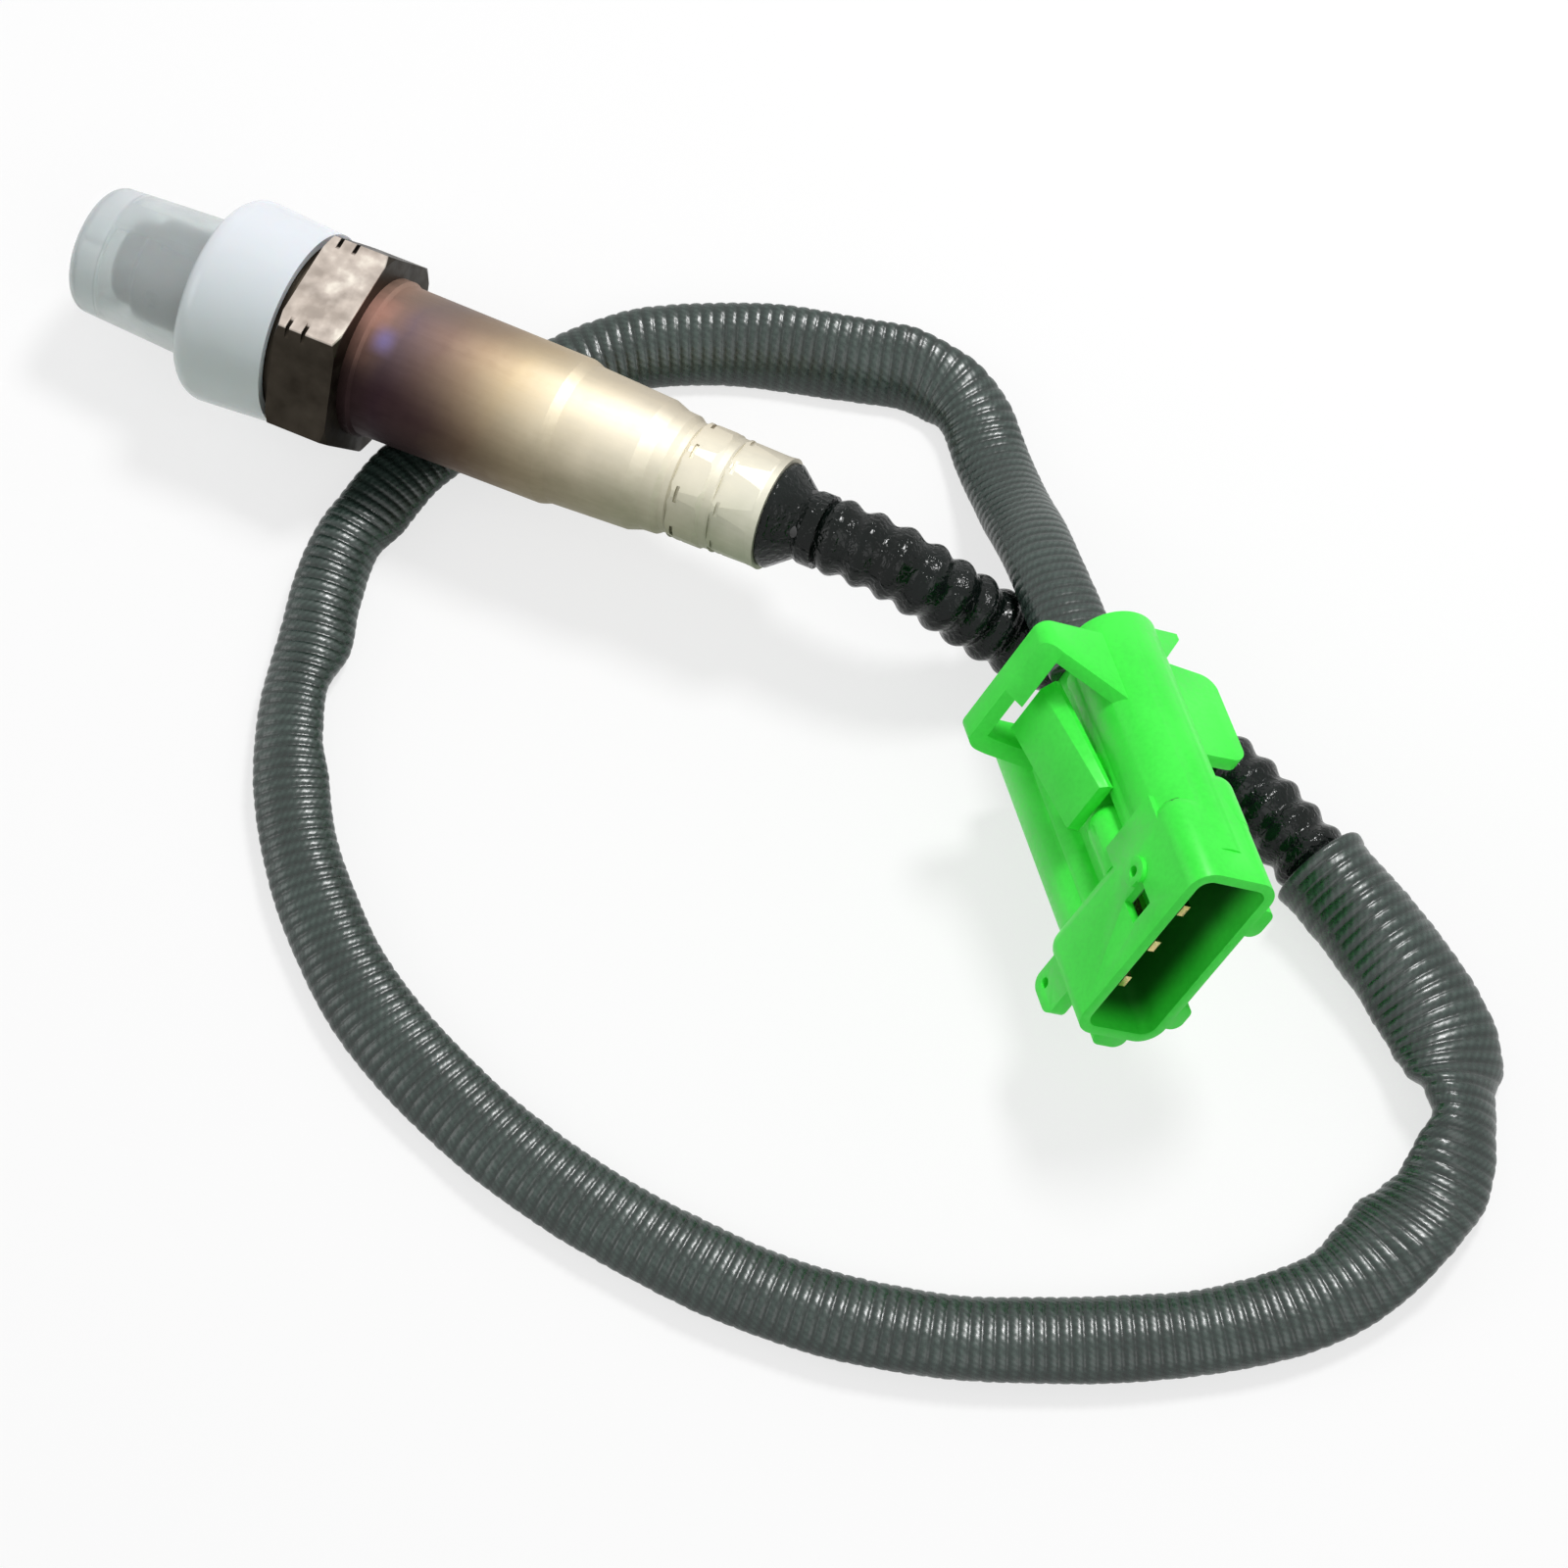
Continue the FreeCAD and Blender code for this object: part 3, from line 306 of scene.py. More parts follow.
# %% Routes in metres
CONDUIT_ROUTE = [
    (0.04562, 0.0, 0.016889), (0.0526, 0.0, 0.0173526), (0.0588, 0.0003, 0.0146),
    (0.0650, 0.0017, 0.0089), (0.0718, 0.0026, 0.0053), (0.0805, 0.0018, 0.0046),
    (0.0901, 0.0002, 0.0045), (0.0997, -0.00289, 0.0045), (0.1085, -0.0074, 0.0045),
]
LEVEL = 0.0023
SLEEVE_ROUTE = [
    (0.1085, -0.0074, LEVEL), (0.1165, -0.0115, LEVEL), (0.1242, -0.0156, LEVEL),
    (0.1302, -0.0206, LEVEL), (0.1340, -0.0276, LEVEL), (0.1350, -0.0354, LEVEL),
    (0.1332, -0.0438, LEVEL), (0.1280, -0.0524, LEVEL), (0.1192, -0.0603, LEVEL),
    (0.1070, -0.0672, LEVEL), (0.0934, -0.0734, LEVEL), (0.0776, -0.0768, LEVEL),
    (0.0610, -0.0768, LEVEL), (0.0450, -0.0746, LEVEL), (0.0292, -0.0696, LEVEL),
    (0.0172, -0.0622, LEVEL), (0.0076, -0.0529, LEVEL), (0.0004, -0.0420, LEVEL),
    (-0.0030, -0.0298, LEVEL), (-0.0056, -0.0180, LEVEL), (-0.0044, -0.0068, LEVEL),
    (0.0008, 0.0042, LEVEL), (0.0064, 0.0142, LEVEL), (0.0142, 0.0206, LEVEL),
    (0.0246, 0.0256, LEVEL), (0.0358, 0.0286, LEVEL), (0.0442, 0.0312, LEVEL),
    (0.050401, 0.029388, LEVEL), (0.054947, 0.024066, LEVEL),
    (0.060142, 0.017982, 0.0055), (0.065663, 0.011519, 0.0114),
    (0.071183, 0.005055, 0.0149), (0.0750649, 0.0005104, 0.0165964),
    (0.0783269, -0.003309, 0.0179422),
]
print("control points:", len(CONDUIT_ROUTE), "and", len(SLEEVE_ROUTE))

# %% From a route to a line
def smooth_line(name, points):
    """An object with one open NURBS spline through its first and last points."""
    curve = bpy.data.curves.new(name, "CURVE")
    curve.dimensions = "3D"
    curve.resolution_u = 16
    spline = curve.splines.new("NURBS")
    spline.points.add(len(points) - 1)
    for control, place in zip(spline.points, points):
        control.co = (*place, 1.0)
    spline.order_u = 3
    spline.use_endpoint_u = True
    holder = bpy.data.objects.new(name, curve)
    bpy.context.collection.objects.link(holder)
    return holder


def baked(holder, name):
    """The evaluated object as a plain mesh object; the first one is removed."""
    bpy.context.view_layer.update()
    graph = bpy.context.evaluated_depsgraph_get()
    mesh = bpy.data.meshes.new_from_object(holder.evaluated_get(graph),
                                           depsgraph=graph)
    mesh.name = name
    bpy.data.objects.remove(holder)
    piece = bpy.data.objects.new(name, mesh)
    bpy.context.collection.objects.link(piece)
    return piece


def line_points(route):
    """Points read along the route's own spline, first to last."""
    trace = baked(smooth_line("trace", route), "trace")
    points = [vertex.co.copy() for vertex in trace.data.vertices]
    bpy.data.objects.remove(trace)
    return points


def length_of(points):
    return sum((b - a).length for a, b in zip(points, points[1:]))


conduit_points = line_points(CONDUIT_ROUTE)
sleeve_points = line_points(SLEEVE_ROUTE)
SLEEVE_LENGTH = length_of(sleeve_points)

# %% [markdown]
# ## The ribbed conduit
# The conduit is a thin tube with a ring every few millimetres. The rings follow the
# spline, so Geometry Nodes make them: the curve's radius swells and shrinks with the
# distance along it, and one circle is swept over the result. The sizes are inputs, so
# each can be changed in the modifier. The plastic is nearly black, and its pits break
# the lamp's image into sparks.

# %% A small writer for geometry trees
class Tree:
    """A Geometry Nodes tree with named inputs, written node by node."""

    def __init__(self, name, inputs):
        self.tree = bpy.data.node_groups.new(name, "GeometryNodeTree")
        face = self.tree.interface
        face.new_socket("Geometry", in_out="INPUT", socket_type="NodeSocketGeometry")
        self.keys = {}
        for title, (kind, value) in inputs.items():
            socket = face.new_socket(title, in_out="INPUT", socket_type=kind)
            if value is not None:
                socket.default_value = value
            self.keys[title] = socket.identifier
        face.new_socket("Geometry", in_out="OUTPUT", socket_type="NodeSocketGeometry")
        self.start = self.tree.nodes.new("NodeGroupInput")
        self.end = self.tree.nodes.new("NodeGroupOutput")

    def entry(self, title):
        return self.start.outputs[title]

    def add(self, kind, settings=None, values=None):
        node = self.tree.nodes.new(kind)
        for key, value in (settings or {}).items():
            setattr(node, key, value)
        for key, value in (values or {}).items():
            socket = node.inputs[key]
            if isinstance(value, bpy.types.NodeSocket):
                self.tree.links.new(value, socket)
            else:
                socket.default_value = value
        return node

    def maths(self, operation, first, second=0.0):
        return self.add("ShaderNodeMath", {"operation": operation},
                        {0: first, 1: second}).outputs[0]

    def close(self, geometry, material):
        """Ends the tree in real geometry with its material."""
        real = self.add("GeometryNodeRealizeInstances", {}, {"Geometry": geometry})
        done = self.add("GeometryNodeSetMaterial", {},
                        {"Geometry": real.outputs[0], "Material": material})
        self.tree.links.new(done.outputs[0], self.end.inputs[0])

    def use_on(self, holder, values):
        modifier = holder.modifiers.new(self.tree.name, "NODES")
        modifier.node_group = self.tree
        for title, value in values.items():
            modifier[self.keys[title]] = value


print("node groups before the first tree:", len(bpy.data.node_groups))

# %% Glossy black plastic
def glossy_black(name, dust):
    """Black plastic or rubber, with a thin dust in its clouds and fine pits."""
    finish = Finish(name, {"Specular IOR Level": 0.22})
    grain = finish.noise(scale=1300.0, detail=2.0)
    cloud = finish.noise(scale=120.0, detail=3.0)
    pits = grain.between(0.42, 0.60)
    colour = finish.ramp(cloud, [(0.35, (0.002, 0.004, 0.003)), (0.75, dust)])
    return finish.finish(
        Base_Color=colour,
        Roughness=cloud.between(0.3, 0.8, start=0.10, end=0.20),
        Normal=finish.bump(pits, strength=0.45, distance=0.12 * MM))


conduit_finish = glossy_black("conduit_plastic", dust=(0.005, 0.009, 0.008))
print("finish:", conduit_finish.name)

# %% Ribbed tube
def ribbed_tree():
    tree = Tree("ribbed tube", {
        "Crest radius": ("NodeSocketFloat", 4.35 * MM),
        "Ring height": ("NodeSocketFloat", 0.66 * MM),
        "Roundness": ("NodeSocketFloat", 0.90),
        "Pitch": ("NodeSocketFloat", 3.4 * MM),
        "Step": ("NodeSocketFloat", 0.17 * MM),
        "Sides": ("NodeSocketInt", 56),
        "Finish": ("NodeSocketMaterial", None),
    })
    fine = tree.add("GeometryNodeResampleCurve", {"mode": "LENGTH"},
                    {"Curve": tree.start.outputs["Geometry"],
                     "Length": tree.entry("Step")})
    where = tree.add("GeometryNodeSplineParameter").outputs["Length"]
    turn = tree.maths("MULTIPLY", tree.maths("DIVIDE", where, tree.entry("Pitch")),
                      math.pi)
    wave = tree.maths("SINE", turn)
    round_crest = tree.maths("POWER", tree.maths("MULTIPLY", wave, wave),
                             tree.entry("Roundness"))
    valley = tree.maths("SUBTRACT", tree.entry("Crest radius"), tree.entry("Ring height"))
    radius = tree.maths("ADD", valley,
                        tree.maths("MULTIPLY", round_crest, tree.entry("Ring height")))
    shaped = tree.add("GeometryNodeSetCurveRadius", {},
                      {"Curve": fine.outputs[0], "Radius": radius})
    ring = tree.add("GeometryNodeCurvePrimitiveCircle", {},
                    {"Resolution": tree.entry("Sides"), "Radius": 1.0})
    sweep = tree.add("GeometryNodeCurveToMesh", {},
                     {"Curve": shaped.outputs[0], "Profile Curve": ring.outputs[0],
                      "Fill Caps": True})
    if "Scale" in sweep.inputs:
        tree.tree.links.new(radius, sweep.inputs["Scale"])
    smooth = tree.add("GeometryNodeSetShadeSmooth", {}, {"Geometry": sweep.outputs[0]})
    tree.close(smooth.outputs[0], tree.entry("Finish"))
    return tree


ribbed = ribbed_tree()
print("inputs of the ribbed tube:", ", ".join(ribbed.keys))

# %% The conduit's piece
DOUBLES_WITHIN = 0.5e-6


def outward(piece):
    """Doubles merged and every face turned outwards."""
    work = bmesh.new()
    work.from_mesh(piece.data)
    bmesh.ops.remove_doubles(work, verts=work.verts, dist=DOUBLES_WITHIN)
    bmesh.ops.recalc_face_normals(work, faces=work.faces)
    work.to_mesh(piece.data)
    work.free()


conduit_line = smooth_line("conduit_line", CONDUIT_ROUTE)
ribbed.use_on(conduit_line, {"Finish": conduit_finish})
conduit = baked(conduit_line, "ribbed_conduit")
outward(conduit)
print("conduit faces:", len(conduit.data.polygons))
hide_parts("corrugated_conduit")
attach(conduit, "root")

# %% [markdown]
# ## The woven sleeve
# The sleeve is a flat woven tube that the wires only partly fill, so it is oval, it
# twists, and it kinks at its tight bends. Its cross ribs catch the light as a row of
# beads. A plain sweep would keep one section all the way, so each section is placed by
# keys listed along the length. The ribs are real geometry, and the finer yarns are
# left to the finish.

# %% Sleeve keys
RIB_PITCH = 1.30 * MM
RIB_HEIGHT = 0.10 * MM
RINGS_A_RIB = 6
GROOVE_SHARPNESS = 8
SLEEVE_SIDES = 40
TABLE_GAP = 0.06 * MM
WIDTH, HEIGHT, TWIST, SHIFT = 1, 2, 3, 4
# distance along in mm, width, height, twist in degrees, shift into the loop in mm
SLEEVE_KEYS = [
    (0, 11.4, 10.2, 0, 0), (2, 10.6, 9.8, 0, 0), (6, 10.8, 9.4, 0, 0),
    (12, 11.4, 8.4, 0, 0.2), (18, 12.0, 7.2, 0, 0.3), (23, 12.0, 6.4, 6, 0.3),
    (27, 11.6, 6.0, 20, 0.3), (30, 9.6, 5.8, 44, 0.2), (33, 8.8, 5.4, 46, -0.3),
    (37, 9.4, 5.2, 20, 0), (41, 9.8, 5.2, 0, 0), (44, 10.6, 5.6, -12, 0.5),
    (48, 11.6, 5.8, -14, 1.0), (52, 10.8, 5.5, -6, 0.7), (58, 9.6, 5.3, 0, 0),
    (76, 9.2, 5.2, 0, 0), (100, 9.4, 5.2, -6, 0), (140, 9.4, 5.2, 0, 0),
    (165, 9.3, 5.2, 8, 0), (180, 8.8, 5.1, 4, 0), (192, 8.3, 5.1, 0, 0),
    (200, 8.4, 5.1, 0, 0.1), (206, 7.6, 5.0, 10, -0.2), (212, 7.4, 5.0, 14, -0.4),
    (218, 8.4, 4.8, -6, 0.3), (224, 8.0, 4.8, -16, 0), (231, 7.6, 4.8, -20, -0.2),
    (236, 8.2, 4.4, -10, 0.3), (244, 8.4, 4.2, 0, 0), (262, 8.6, 4.6, -6, 0),
    (275, 9.2, 4.8, -26, 0), (290, 9.8, 4.9, -34, 0), (303, 9.6, 4.8, -34, 0),
    (309, 9.0, 4.6, -20, 0.3), (313, 8.4, 5.0, -4, 0.2), (322, 8.6, 5.2, 0, 0),
    (360, 8.4, 4.8, 0, 0),
]


def key_value(at, column):
    """Smoothly blended value of one column of the keys."""
    for left, right in zip(SLEEVE_KEYS, SLEEVE_KEYS[1:]):
        if at <= right[0]:
            share = (at - left[0]) / (right[0] - left[0])
            share = min(max(share, 0.0), 1.0)
            share = share * share * (3 - 2 * share)
            return left[column] + (right[column] - left[column]) * share
    return SLEEVE_KEYS[-1][column]


print("sleeve keys:", len(SLEEVE_KEYS), "ribs:", round(SLEEVE_LENGTH / RIB_PITCH))

# %% Places along the sleeve
def even_places(points, count):
    """Evenly spaced places with tangents along a list of points."""
    total = length_of(points)
    places, walked, index = [], 0.0, 0
    for step in range(count + 1):
        goal = total * step / count
        while index < len(points) - 2:
            span = (points[index + 1] - points[index]).length
            if walked + span >= goal:
                break
            walked += span
            index += 1
        a, b = points[index], points[index + 1]
        share = (goal - walked) / max((b - a).length, 1e-9)
        before = points[max(index - 1, 0)]
        after = points[min(index + 2, len(points) - 1)]
        tangent = ((b - before).normalized() * (1 - share)
                   + (after - a).normalized() * share).normalized()
        places.append((goal, a.lerp(b, share), tangent))
    return places


rings = even_places(sleeve_points, round(SLEEVE_LENGTH / RIB_PITCH) * RINGS_A_RIB)
print("sleeve rings:", len(rings))

# %% One section of the sleeve
def swell_at(at, angle):
    """Slow swells and a fine unevenness of the cloth, as a share of its size."""
    x, y = math.cos(angle), math.sin(angle)
    slow = noise.noise(Vector((at * 0.10, x * 1.3, y * 1.3)))
    fine = noise.noise(Vector((at * 0.9 + 40, x * 3, y * 3)))
    return 1 + 0.045 * slow + 0.012 * fine


def section(ring):
    """The middle and the points of one section, lifted clear of the table."""
    walked, centre, tangent = rings[ring]
    at = walked / MM
    half_w = key_value(at, WIDTH) / 2 * MM
    half_h = key_value(at, HEIGHT) / 2 * MM
    twist = math.radians(key_value(at, TWIST))
    across = tangent.cross(Vector((0, 0, 1))).normalized()
    up = across.cross(tangent).normalized()
    middle = centre + across * key_value(at, SHIFT) * MM
    groove = math.cos(math.pi * ring / RINGS_A_RIB) ** GROOVE_SHARPNESS
    points = []
    for side in range(SLEEVE_SIDES):
        angle = 2 * math.pi * side / SLEEVE_SIDES
        x, y = math.cos(angle) * half_w, math.sin(angle) * half_h
        scale = swell_at(at, angle) - groove * RIB_HEIGHT / math.hypot(x, y)
        x, y = x * scale, y * scale
        turned_x = x * math.cos(twist) - y * math.sin(twist)
        turned_y = x * math.sin(twist) + y * math.cos(twist)
        points.append(middle + across * turned_x + up * turned_y)
    lift = max(0.0, TABLE_GAP - min(point.z for point in points))
    rise = Vector((0, 0, lift))
    return middle + rise, [point + rise for point in points]


sections = [section(ring) for ring in range(len(rings))]
print("lowest point of the sleeve: %.2f mm"
      % (min(point.z for middle, points in sections for point in points) / MM))

# %% Skin over the sections
def skin():
    """Quads from ring to ring, two closing faces, and a map that counts the ribs."""
    verts = [tuple(point) for middle, points in sections for point in points]
    faces, marks = [], []
    for ring in range(len(sections) - 1):
        for side in range(SLEEVE_SIDES):
            following = (side + 1) % SLEEVE_SIDES
            a = ring * SLEEVE_SIDES
            b = a + SLEEVE_SIDES
            faces.append((a + side, b + side, b + following, a + following))
            marks.append((side, ring))
    mesh = bpy.data.meshes.new("woven_sleeve_cloth")
    mesh.from_pydata(verts, [], faces)
    weave = mesh.uv_layers.new(name="weave")
    for face, (side, ring) in zip(mesh.polygons, marks):
        corners = ((side, ring), (side, ring + 1), (side + 1, ring + 1),
                   (side + 1, ring))
        for loop, (s, r) in zip(face.loop_indices, corners):
            weave.data[loop].uv = (s / SLEEVE_SIDES, r / RINGS_A_RIB)
    last = (len(sections) - 1) * SLEEVE_SIDES
    work = bmesh.new()
    work.from_mesh(mesh)
    work.verts.ensure_lookup_table()
    work.faces.new([work.verts[i] for i in range(SLEEVE_SIDES)])
    work.faces.new([work.verts[last + i] for i in reversed(range(SLEEVE_SIDES))])
    bmesh.ops.recalc_face_normals(work, faces=work.faces)
    work.to_mesh(mesh)
    work.free()
    mesh.shade_smooth()
    return mesh


sleeve = bpy.data.objects.new("woven_sleeve_cloth", skin())
bpy.context.collection.objects.link(sleeve)
print("sleeve triangles:", 2 * len(sleeve.data.polygons))

# %% Sleeve finish
STRANDS_ROUND = 34.0


def woven_finish():
    """Charcoal yarns, with painted shade between the ribs and strands and painted light
    on their backs.
    """
    finish = Finish("woven_fibre", {"Specular IOR Level": 0.60})
    weave = finish.add("UVMap", {"uv_map": "weave"})
    around = finish.add("SeparateXYZ", {}, {"Vector": weave})
    rib = Level(finish, around.socket.node.outputs["Y"])
    rib_shading = (rib * (2 * math.pi) - math.pi / 2).sine() * 0.5 + 0.5
    strand = ((around * STRANDS_ROUND + rib) * (2 * math.pi)).sine() * 0.5 + 0.5
    cloud = finish.noise(scale=160.0, detail=4.0)
    speck = finish.noise(scale=2600.0, detail=2.0)
    # Painted shade in the grooves between ribs and strands, painted light on their backs;
    # the cloud and speck are the yarn's own tone.
    tone = (rib_shading * 0.26 + strand * 0.12 + cloud * 0.38 + speck * 0.24).held()
    colour = finish.ramp(tone, [(0.20, (0.003, 0.007, 0.005)),
                                (0.55, (0.018, 0.033, 0.027)),
                                (0.90, (0.068, 0.100, 0.086))])
    height = strand * 0.7 + speck * 0.5
    return finish.finish(
        Base_Color=colour,
        Roughness=speck.between(0.3, 0.7, start=0.26, end=0.34),
        Normal=finish.bump(height, strength=0.18, distance=0.08 * MM))


sleeve.data.materials.append(woven_finish())
print("sleeve finish:", sleeve.data.materials[0].name)
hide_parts("woven_sleeve")
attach(sleeve, "root")

# %% [markdown]
# ## The sensor's own axis
# The sensor lies tilted, with its cap's collar on the table. Its finishes follow its own
# axis, so they measure the distance along it, and the height square to it, from one
# point: the middle of the hexagon's front face. Object coordinates are enough for that,
# and the pieces need no UV map.

# %% Axis of the sensor
TILT = math.radians(3.8)
SENSOR_AXIS = (math.cos(TILT), 0.0, math.sin(TILT))
SENSOR_UP = (-math.sin(TILT), 0.0, math.cos(TILT))
HEX_FRONT = (-17.661 * MM, 0.0, 12.590 * MM)
# Up the picture, square to the sensor: colours are painted lighter towards the far top of
# the sleeve, as painted light, and darker towards the near bottom, as painted shade.
PAINTED_LIT_SIDE = (0.0, 0.868, 0.497)


def paint(names, material):
    """Gives the frame's own pieces a material in place of their plain one."""
    for name in names:
        slots = nodes[name].data.materials
        slots.clear()
        slots.append(material)
    print(material.name, "on", len(names), "pieces")


def four(name):
    """The names of four pieces of one kind."""
    return ["%s_%d" % (name, number) for number in (1, 2, 3, 4)]


print("tilt of the sensor: %.1f degrees" % math.degrees(TILT))

# %% [markdown]
# ## Steel of the hexagon
# The hexagon is dark, browned steel, and its darker flats are partly painted shade. Its
# top flat has been rubbed bright and blotchy, and its brightness is partly a painted
# highlight.
# Two materials would need the mesh cut in two, so one material holds both, and a mask of
# the height over the axis picks the bright one on the top flat only.

# %% Hexagon and sealing ring
TOP_FLAT_HEIGHT = 10.9 * MM
TOP_FLAT_EDGE = 0.15 * MM


def hexagon_steel():
    finish = Finish("housing_steel", {"Metallic": 1.0})
    height = finish.along(SENSOR_UP, HEX_FRONT)
    cloud = finish.noise(scale=220.0, detail=4.0)
    patch = finish.noise(scale=500.0, detail=3.0)
    tone = (cloud * 0.6 + patch * 0.4).held()
    # Painted highlight on the top flat, over rubbed steel.
    rubbed_and_highlit = finish.ramp(tone, [(0.38, (0.36, 0.31, 0.27)), (0.52, (0.50, 0.44, 0.39)),
                                (0.64, (0.72, 0.68, 0.60))])
    # Browned steel on the other flats, darkened further as painted shade.
    dark = finish.ramp(tone, [(0.35, (0.022, 0.018, 0.013)),
                              (0.70, (0.050, 0.042, 0.032))])
    on_top = height.between(TOP_FLAT_HEIGHT - TOP_FLAT_EDGE, TOP_FLAT_HEIGHT)
    return finish.finish(
        Base_Color=finish.blend(on_top, dark, rubbed_and_highlit),
        Roughness=patch.between(0.3, 0.7, start=0.40, end=0.55),
        Normal=finish.bump(patch, strength=0.10, distance=0.2 * MM))


paint(["sensor_housing", "sealing_ring"], hexagon_steel())

# %% [markdown]
# ## Heat tint on the steel sleeve
# The welded foot of the sleeve went through copper, violet and straw as it was heated,
# and the far end stayed pale. A ramp over the distance along the axis gives that order.
# The colours lean, because heat and light differ from side to side, so the ramp starts
# later on the side painted as lit. A second, darker ramp takes over below a soft border,
# as painted shade on the near bottom side.

# %% Ramps along the sleeve
TINT_START = 7.6 * MM
TINT_LENGTH = 50.0 * MM
TINT_LEAN = 0.25
# Painted light: the tint as lit, for the far top side.
# share of the tint's length, colour
LIT_TINT = [
    (0.000, (0.34, 0.19, 0.15)), (0.040, (0.22, 0.14, 0.12)),
    (0.090, (0.17, 0.12, 0.13)), (0.170, (0.23, 0.155, 0.125)),
    (0.270, (0.38, 0.28, 0.19)), (0.360, (0.58, 0.47, 0.31)),
    (0.460, (0.72, 0.64, 0.48)), (0.600, (0.74, 0.68, 0.55)),
    (1.000, (0.70, 0.68, 0.58)),
]
# Painted shade: a darker copy of the tint, for the near bottom side.
SHADED_TINT = [
    (0.000, (0.030, 0.018, 0.016)), (0.120, (0.030, 0.016, 0.020)),
    (0.230, (0.048, 0.028, 0.026)), (0.330, (0.11, 0.075, 0.050)),
    (0.450, (0.22, 0.18, 0.115)), (0.620, (0.27, 0.25, 0.17)),
    (1.000, (0.25, 0.28, 0.19)),
]
# height of the border between painted light and painted shade, at the foot and past the
# tint, and the width of its blend
BORDER_AT_FOOT = 3.2 * MM
BORDER_PAST_TINT = 0.9 * MM
TINT_IS_PAST = 0.45
BLEND_BELOW = 6.5 * MM
BLEND_ABOVE = 4.5 * MM
print("tint from %.1f to %.1f mm along the axis"
      % (TINT_START / MM, (TINT_START + TINT_LENGTH) / MM))

# %% Violet spot, painted shade on the far rim, and the steel itself
VIOLET = (0.22, 0.20, 0.50, 1.0)
VIOLET_STATION = 11.0 * MM
VIOLET_HEIGHT = 2.6 * MM
VIOLET_HALF_LENGTH = 2.0 * MM
VIOLET_HALF_HEIGHT = 2.2 * MM
# Painted shade: the far top edge of the steel is painted darker brown.
FAR_RIM_SHADE = (0.26, 0.21, 0.155, 1.0)
FAR_RIM_SHADE_FROM = 5.5 * MM
FAR_RIM_SHADE_TO = 9.0 * MM
DRAWN_LINES = (150.0, 1600.0, 1600.0)


def tint_colour(finish, station, toward_lit_side):
    cloud = finish.noise(scale=180.0, detail=3.0)
    shift = toward_lit_side * TINT_LEAN + (cloud - 0.5) * (5.0 * MM)
    reach = ((station - shift - TINT_START) / TINT_LENGTH).held()
    lit = finish.ramp(reach, LIT_TINT)
    shaded = finish.ramp(reach, SHADED_TINT)
    border = reach.between(0.0, TINT_IS_PAST, start=BORDER_AT_FOOT, end=BORDER_PAST_TINT)
    above = toward_lit_side - border + (cloud - 0.5) * (4.0 * MM)
    # Painted shade below the border and painted light above it, in one colour.
    return finish.blend(above.between(-BLEND_BELOW, BLEND_ABOVE), shaded, lit)


def tinted_steel():
    finish = Finish("sleeve_steel", {"Metallic": 1.0})
    station = finish.along(SENSOR_AXIS, HEX_FRONT)
    toward_lit_side = finish.along(PAINTED_LIT_SIDE, HEX_FRONT)
    colour = tint_colour(finish, station, toward_lit_side)
    near_station = (station - VIOLET_STATION).size()
    near_height = (toward_lit_side - VIOLET_HEIGHT).size()
    spot = (near_station.between(0.0, VIOLET_HALF_LENGTH, start=0.42, end=0.0)
            * near_height.between(0.0, VIOLET_HALF_HEIGHT, start=1.0, end=0.0))
    colour = finish.blend(spot, colour, VIOLET)
    # Painted shade towards the far top edge.
    far_rim_shade = toward_lit_side.between(FAR_RIM_SHADE_FROM, FAR_RIM_SHADE_TO, start=0.0, end=0.45)
    colour = finish.blend(far_rim_shade, colour, FAR_RIM_SHADE)
    stretched = finish.add("Mapping", {}, {"Vector": finish.place(),
                                           "Scale": DRAWN_LINES})
    drawn = finish.add("TexNoise", {}, {"Vector": stretched, "Scale": 1.0,
                                        "Detail": 3.0})
    worn = finish.noise(scale=700.0, detail=3.0)
    return finish.finish(
        Base_Color=colour,
        Roughness=(drawn * 0.5 + worn * 0.5).between(0.3, 0.7, start=0.52, end=0.66),
        Normal=finish.bump(drawn * 0.6 + worn * 0.4, strength=0.10, distance=0.2 * MM))


paint(["protective_sleeve"], tinted_steel())

# %% [markdown]
# ## The milky cap
# The cap is one push-on moulding. Its thin nose is nearly clear, so the probe shows
# through, and its thick collar is milky and bluish. A single shader that is half clear
# turns grey, so two are mixed: one lets the light through, one is cloudy plastic, and
# the place along the axis sets how much of each there is.

# %% Cap
CAP_NECK_STATION = -12.7 * MM
PROBE_TIP_STATION = -24.5 * MM


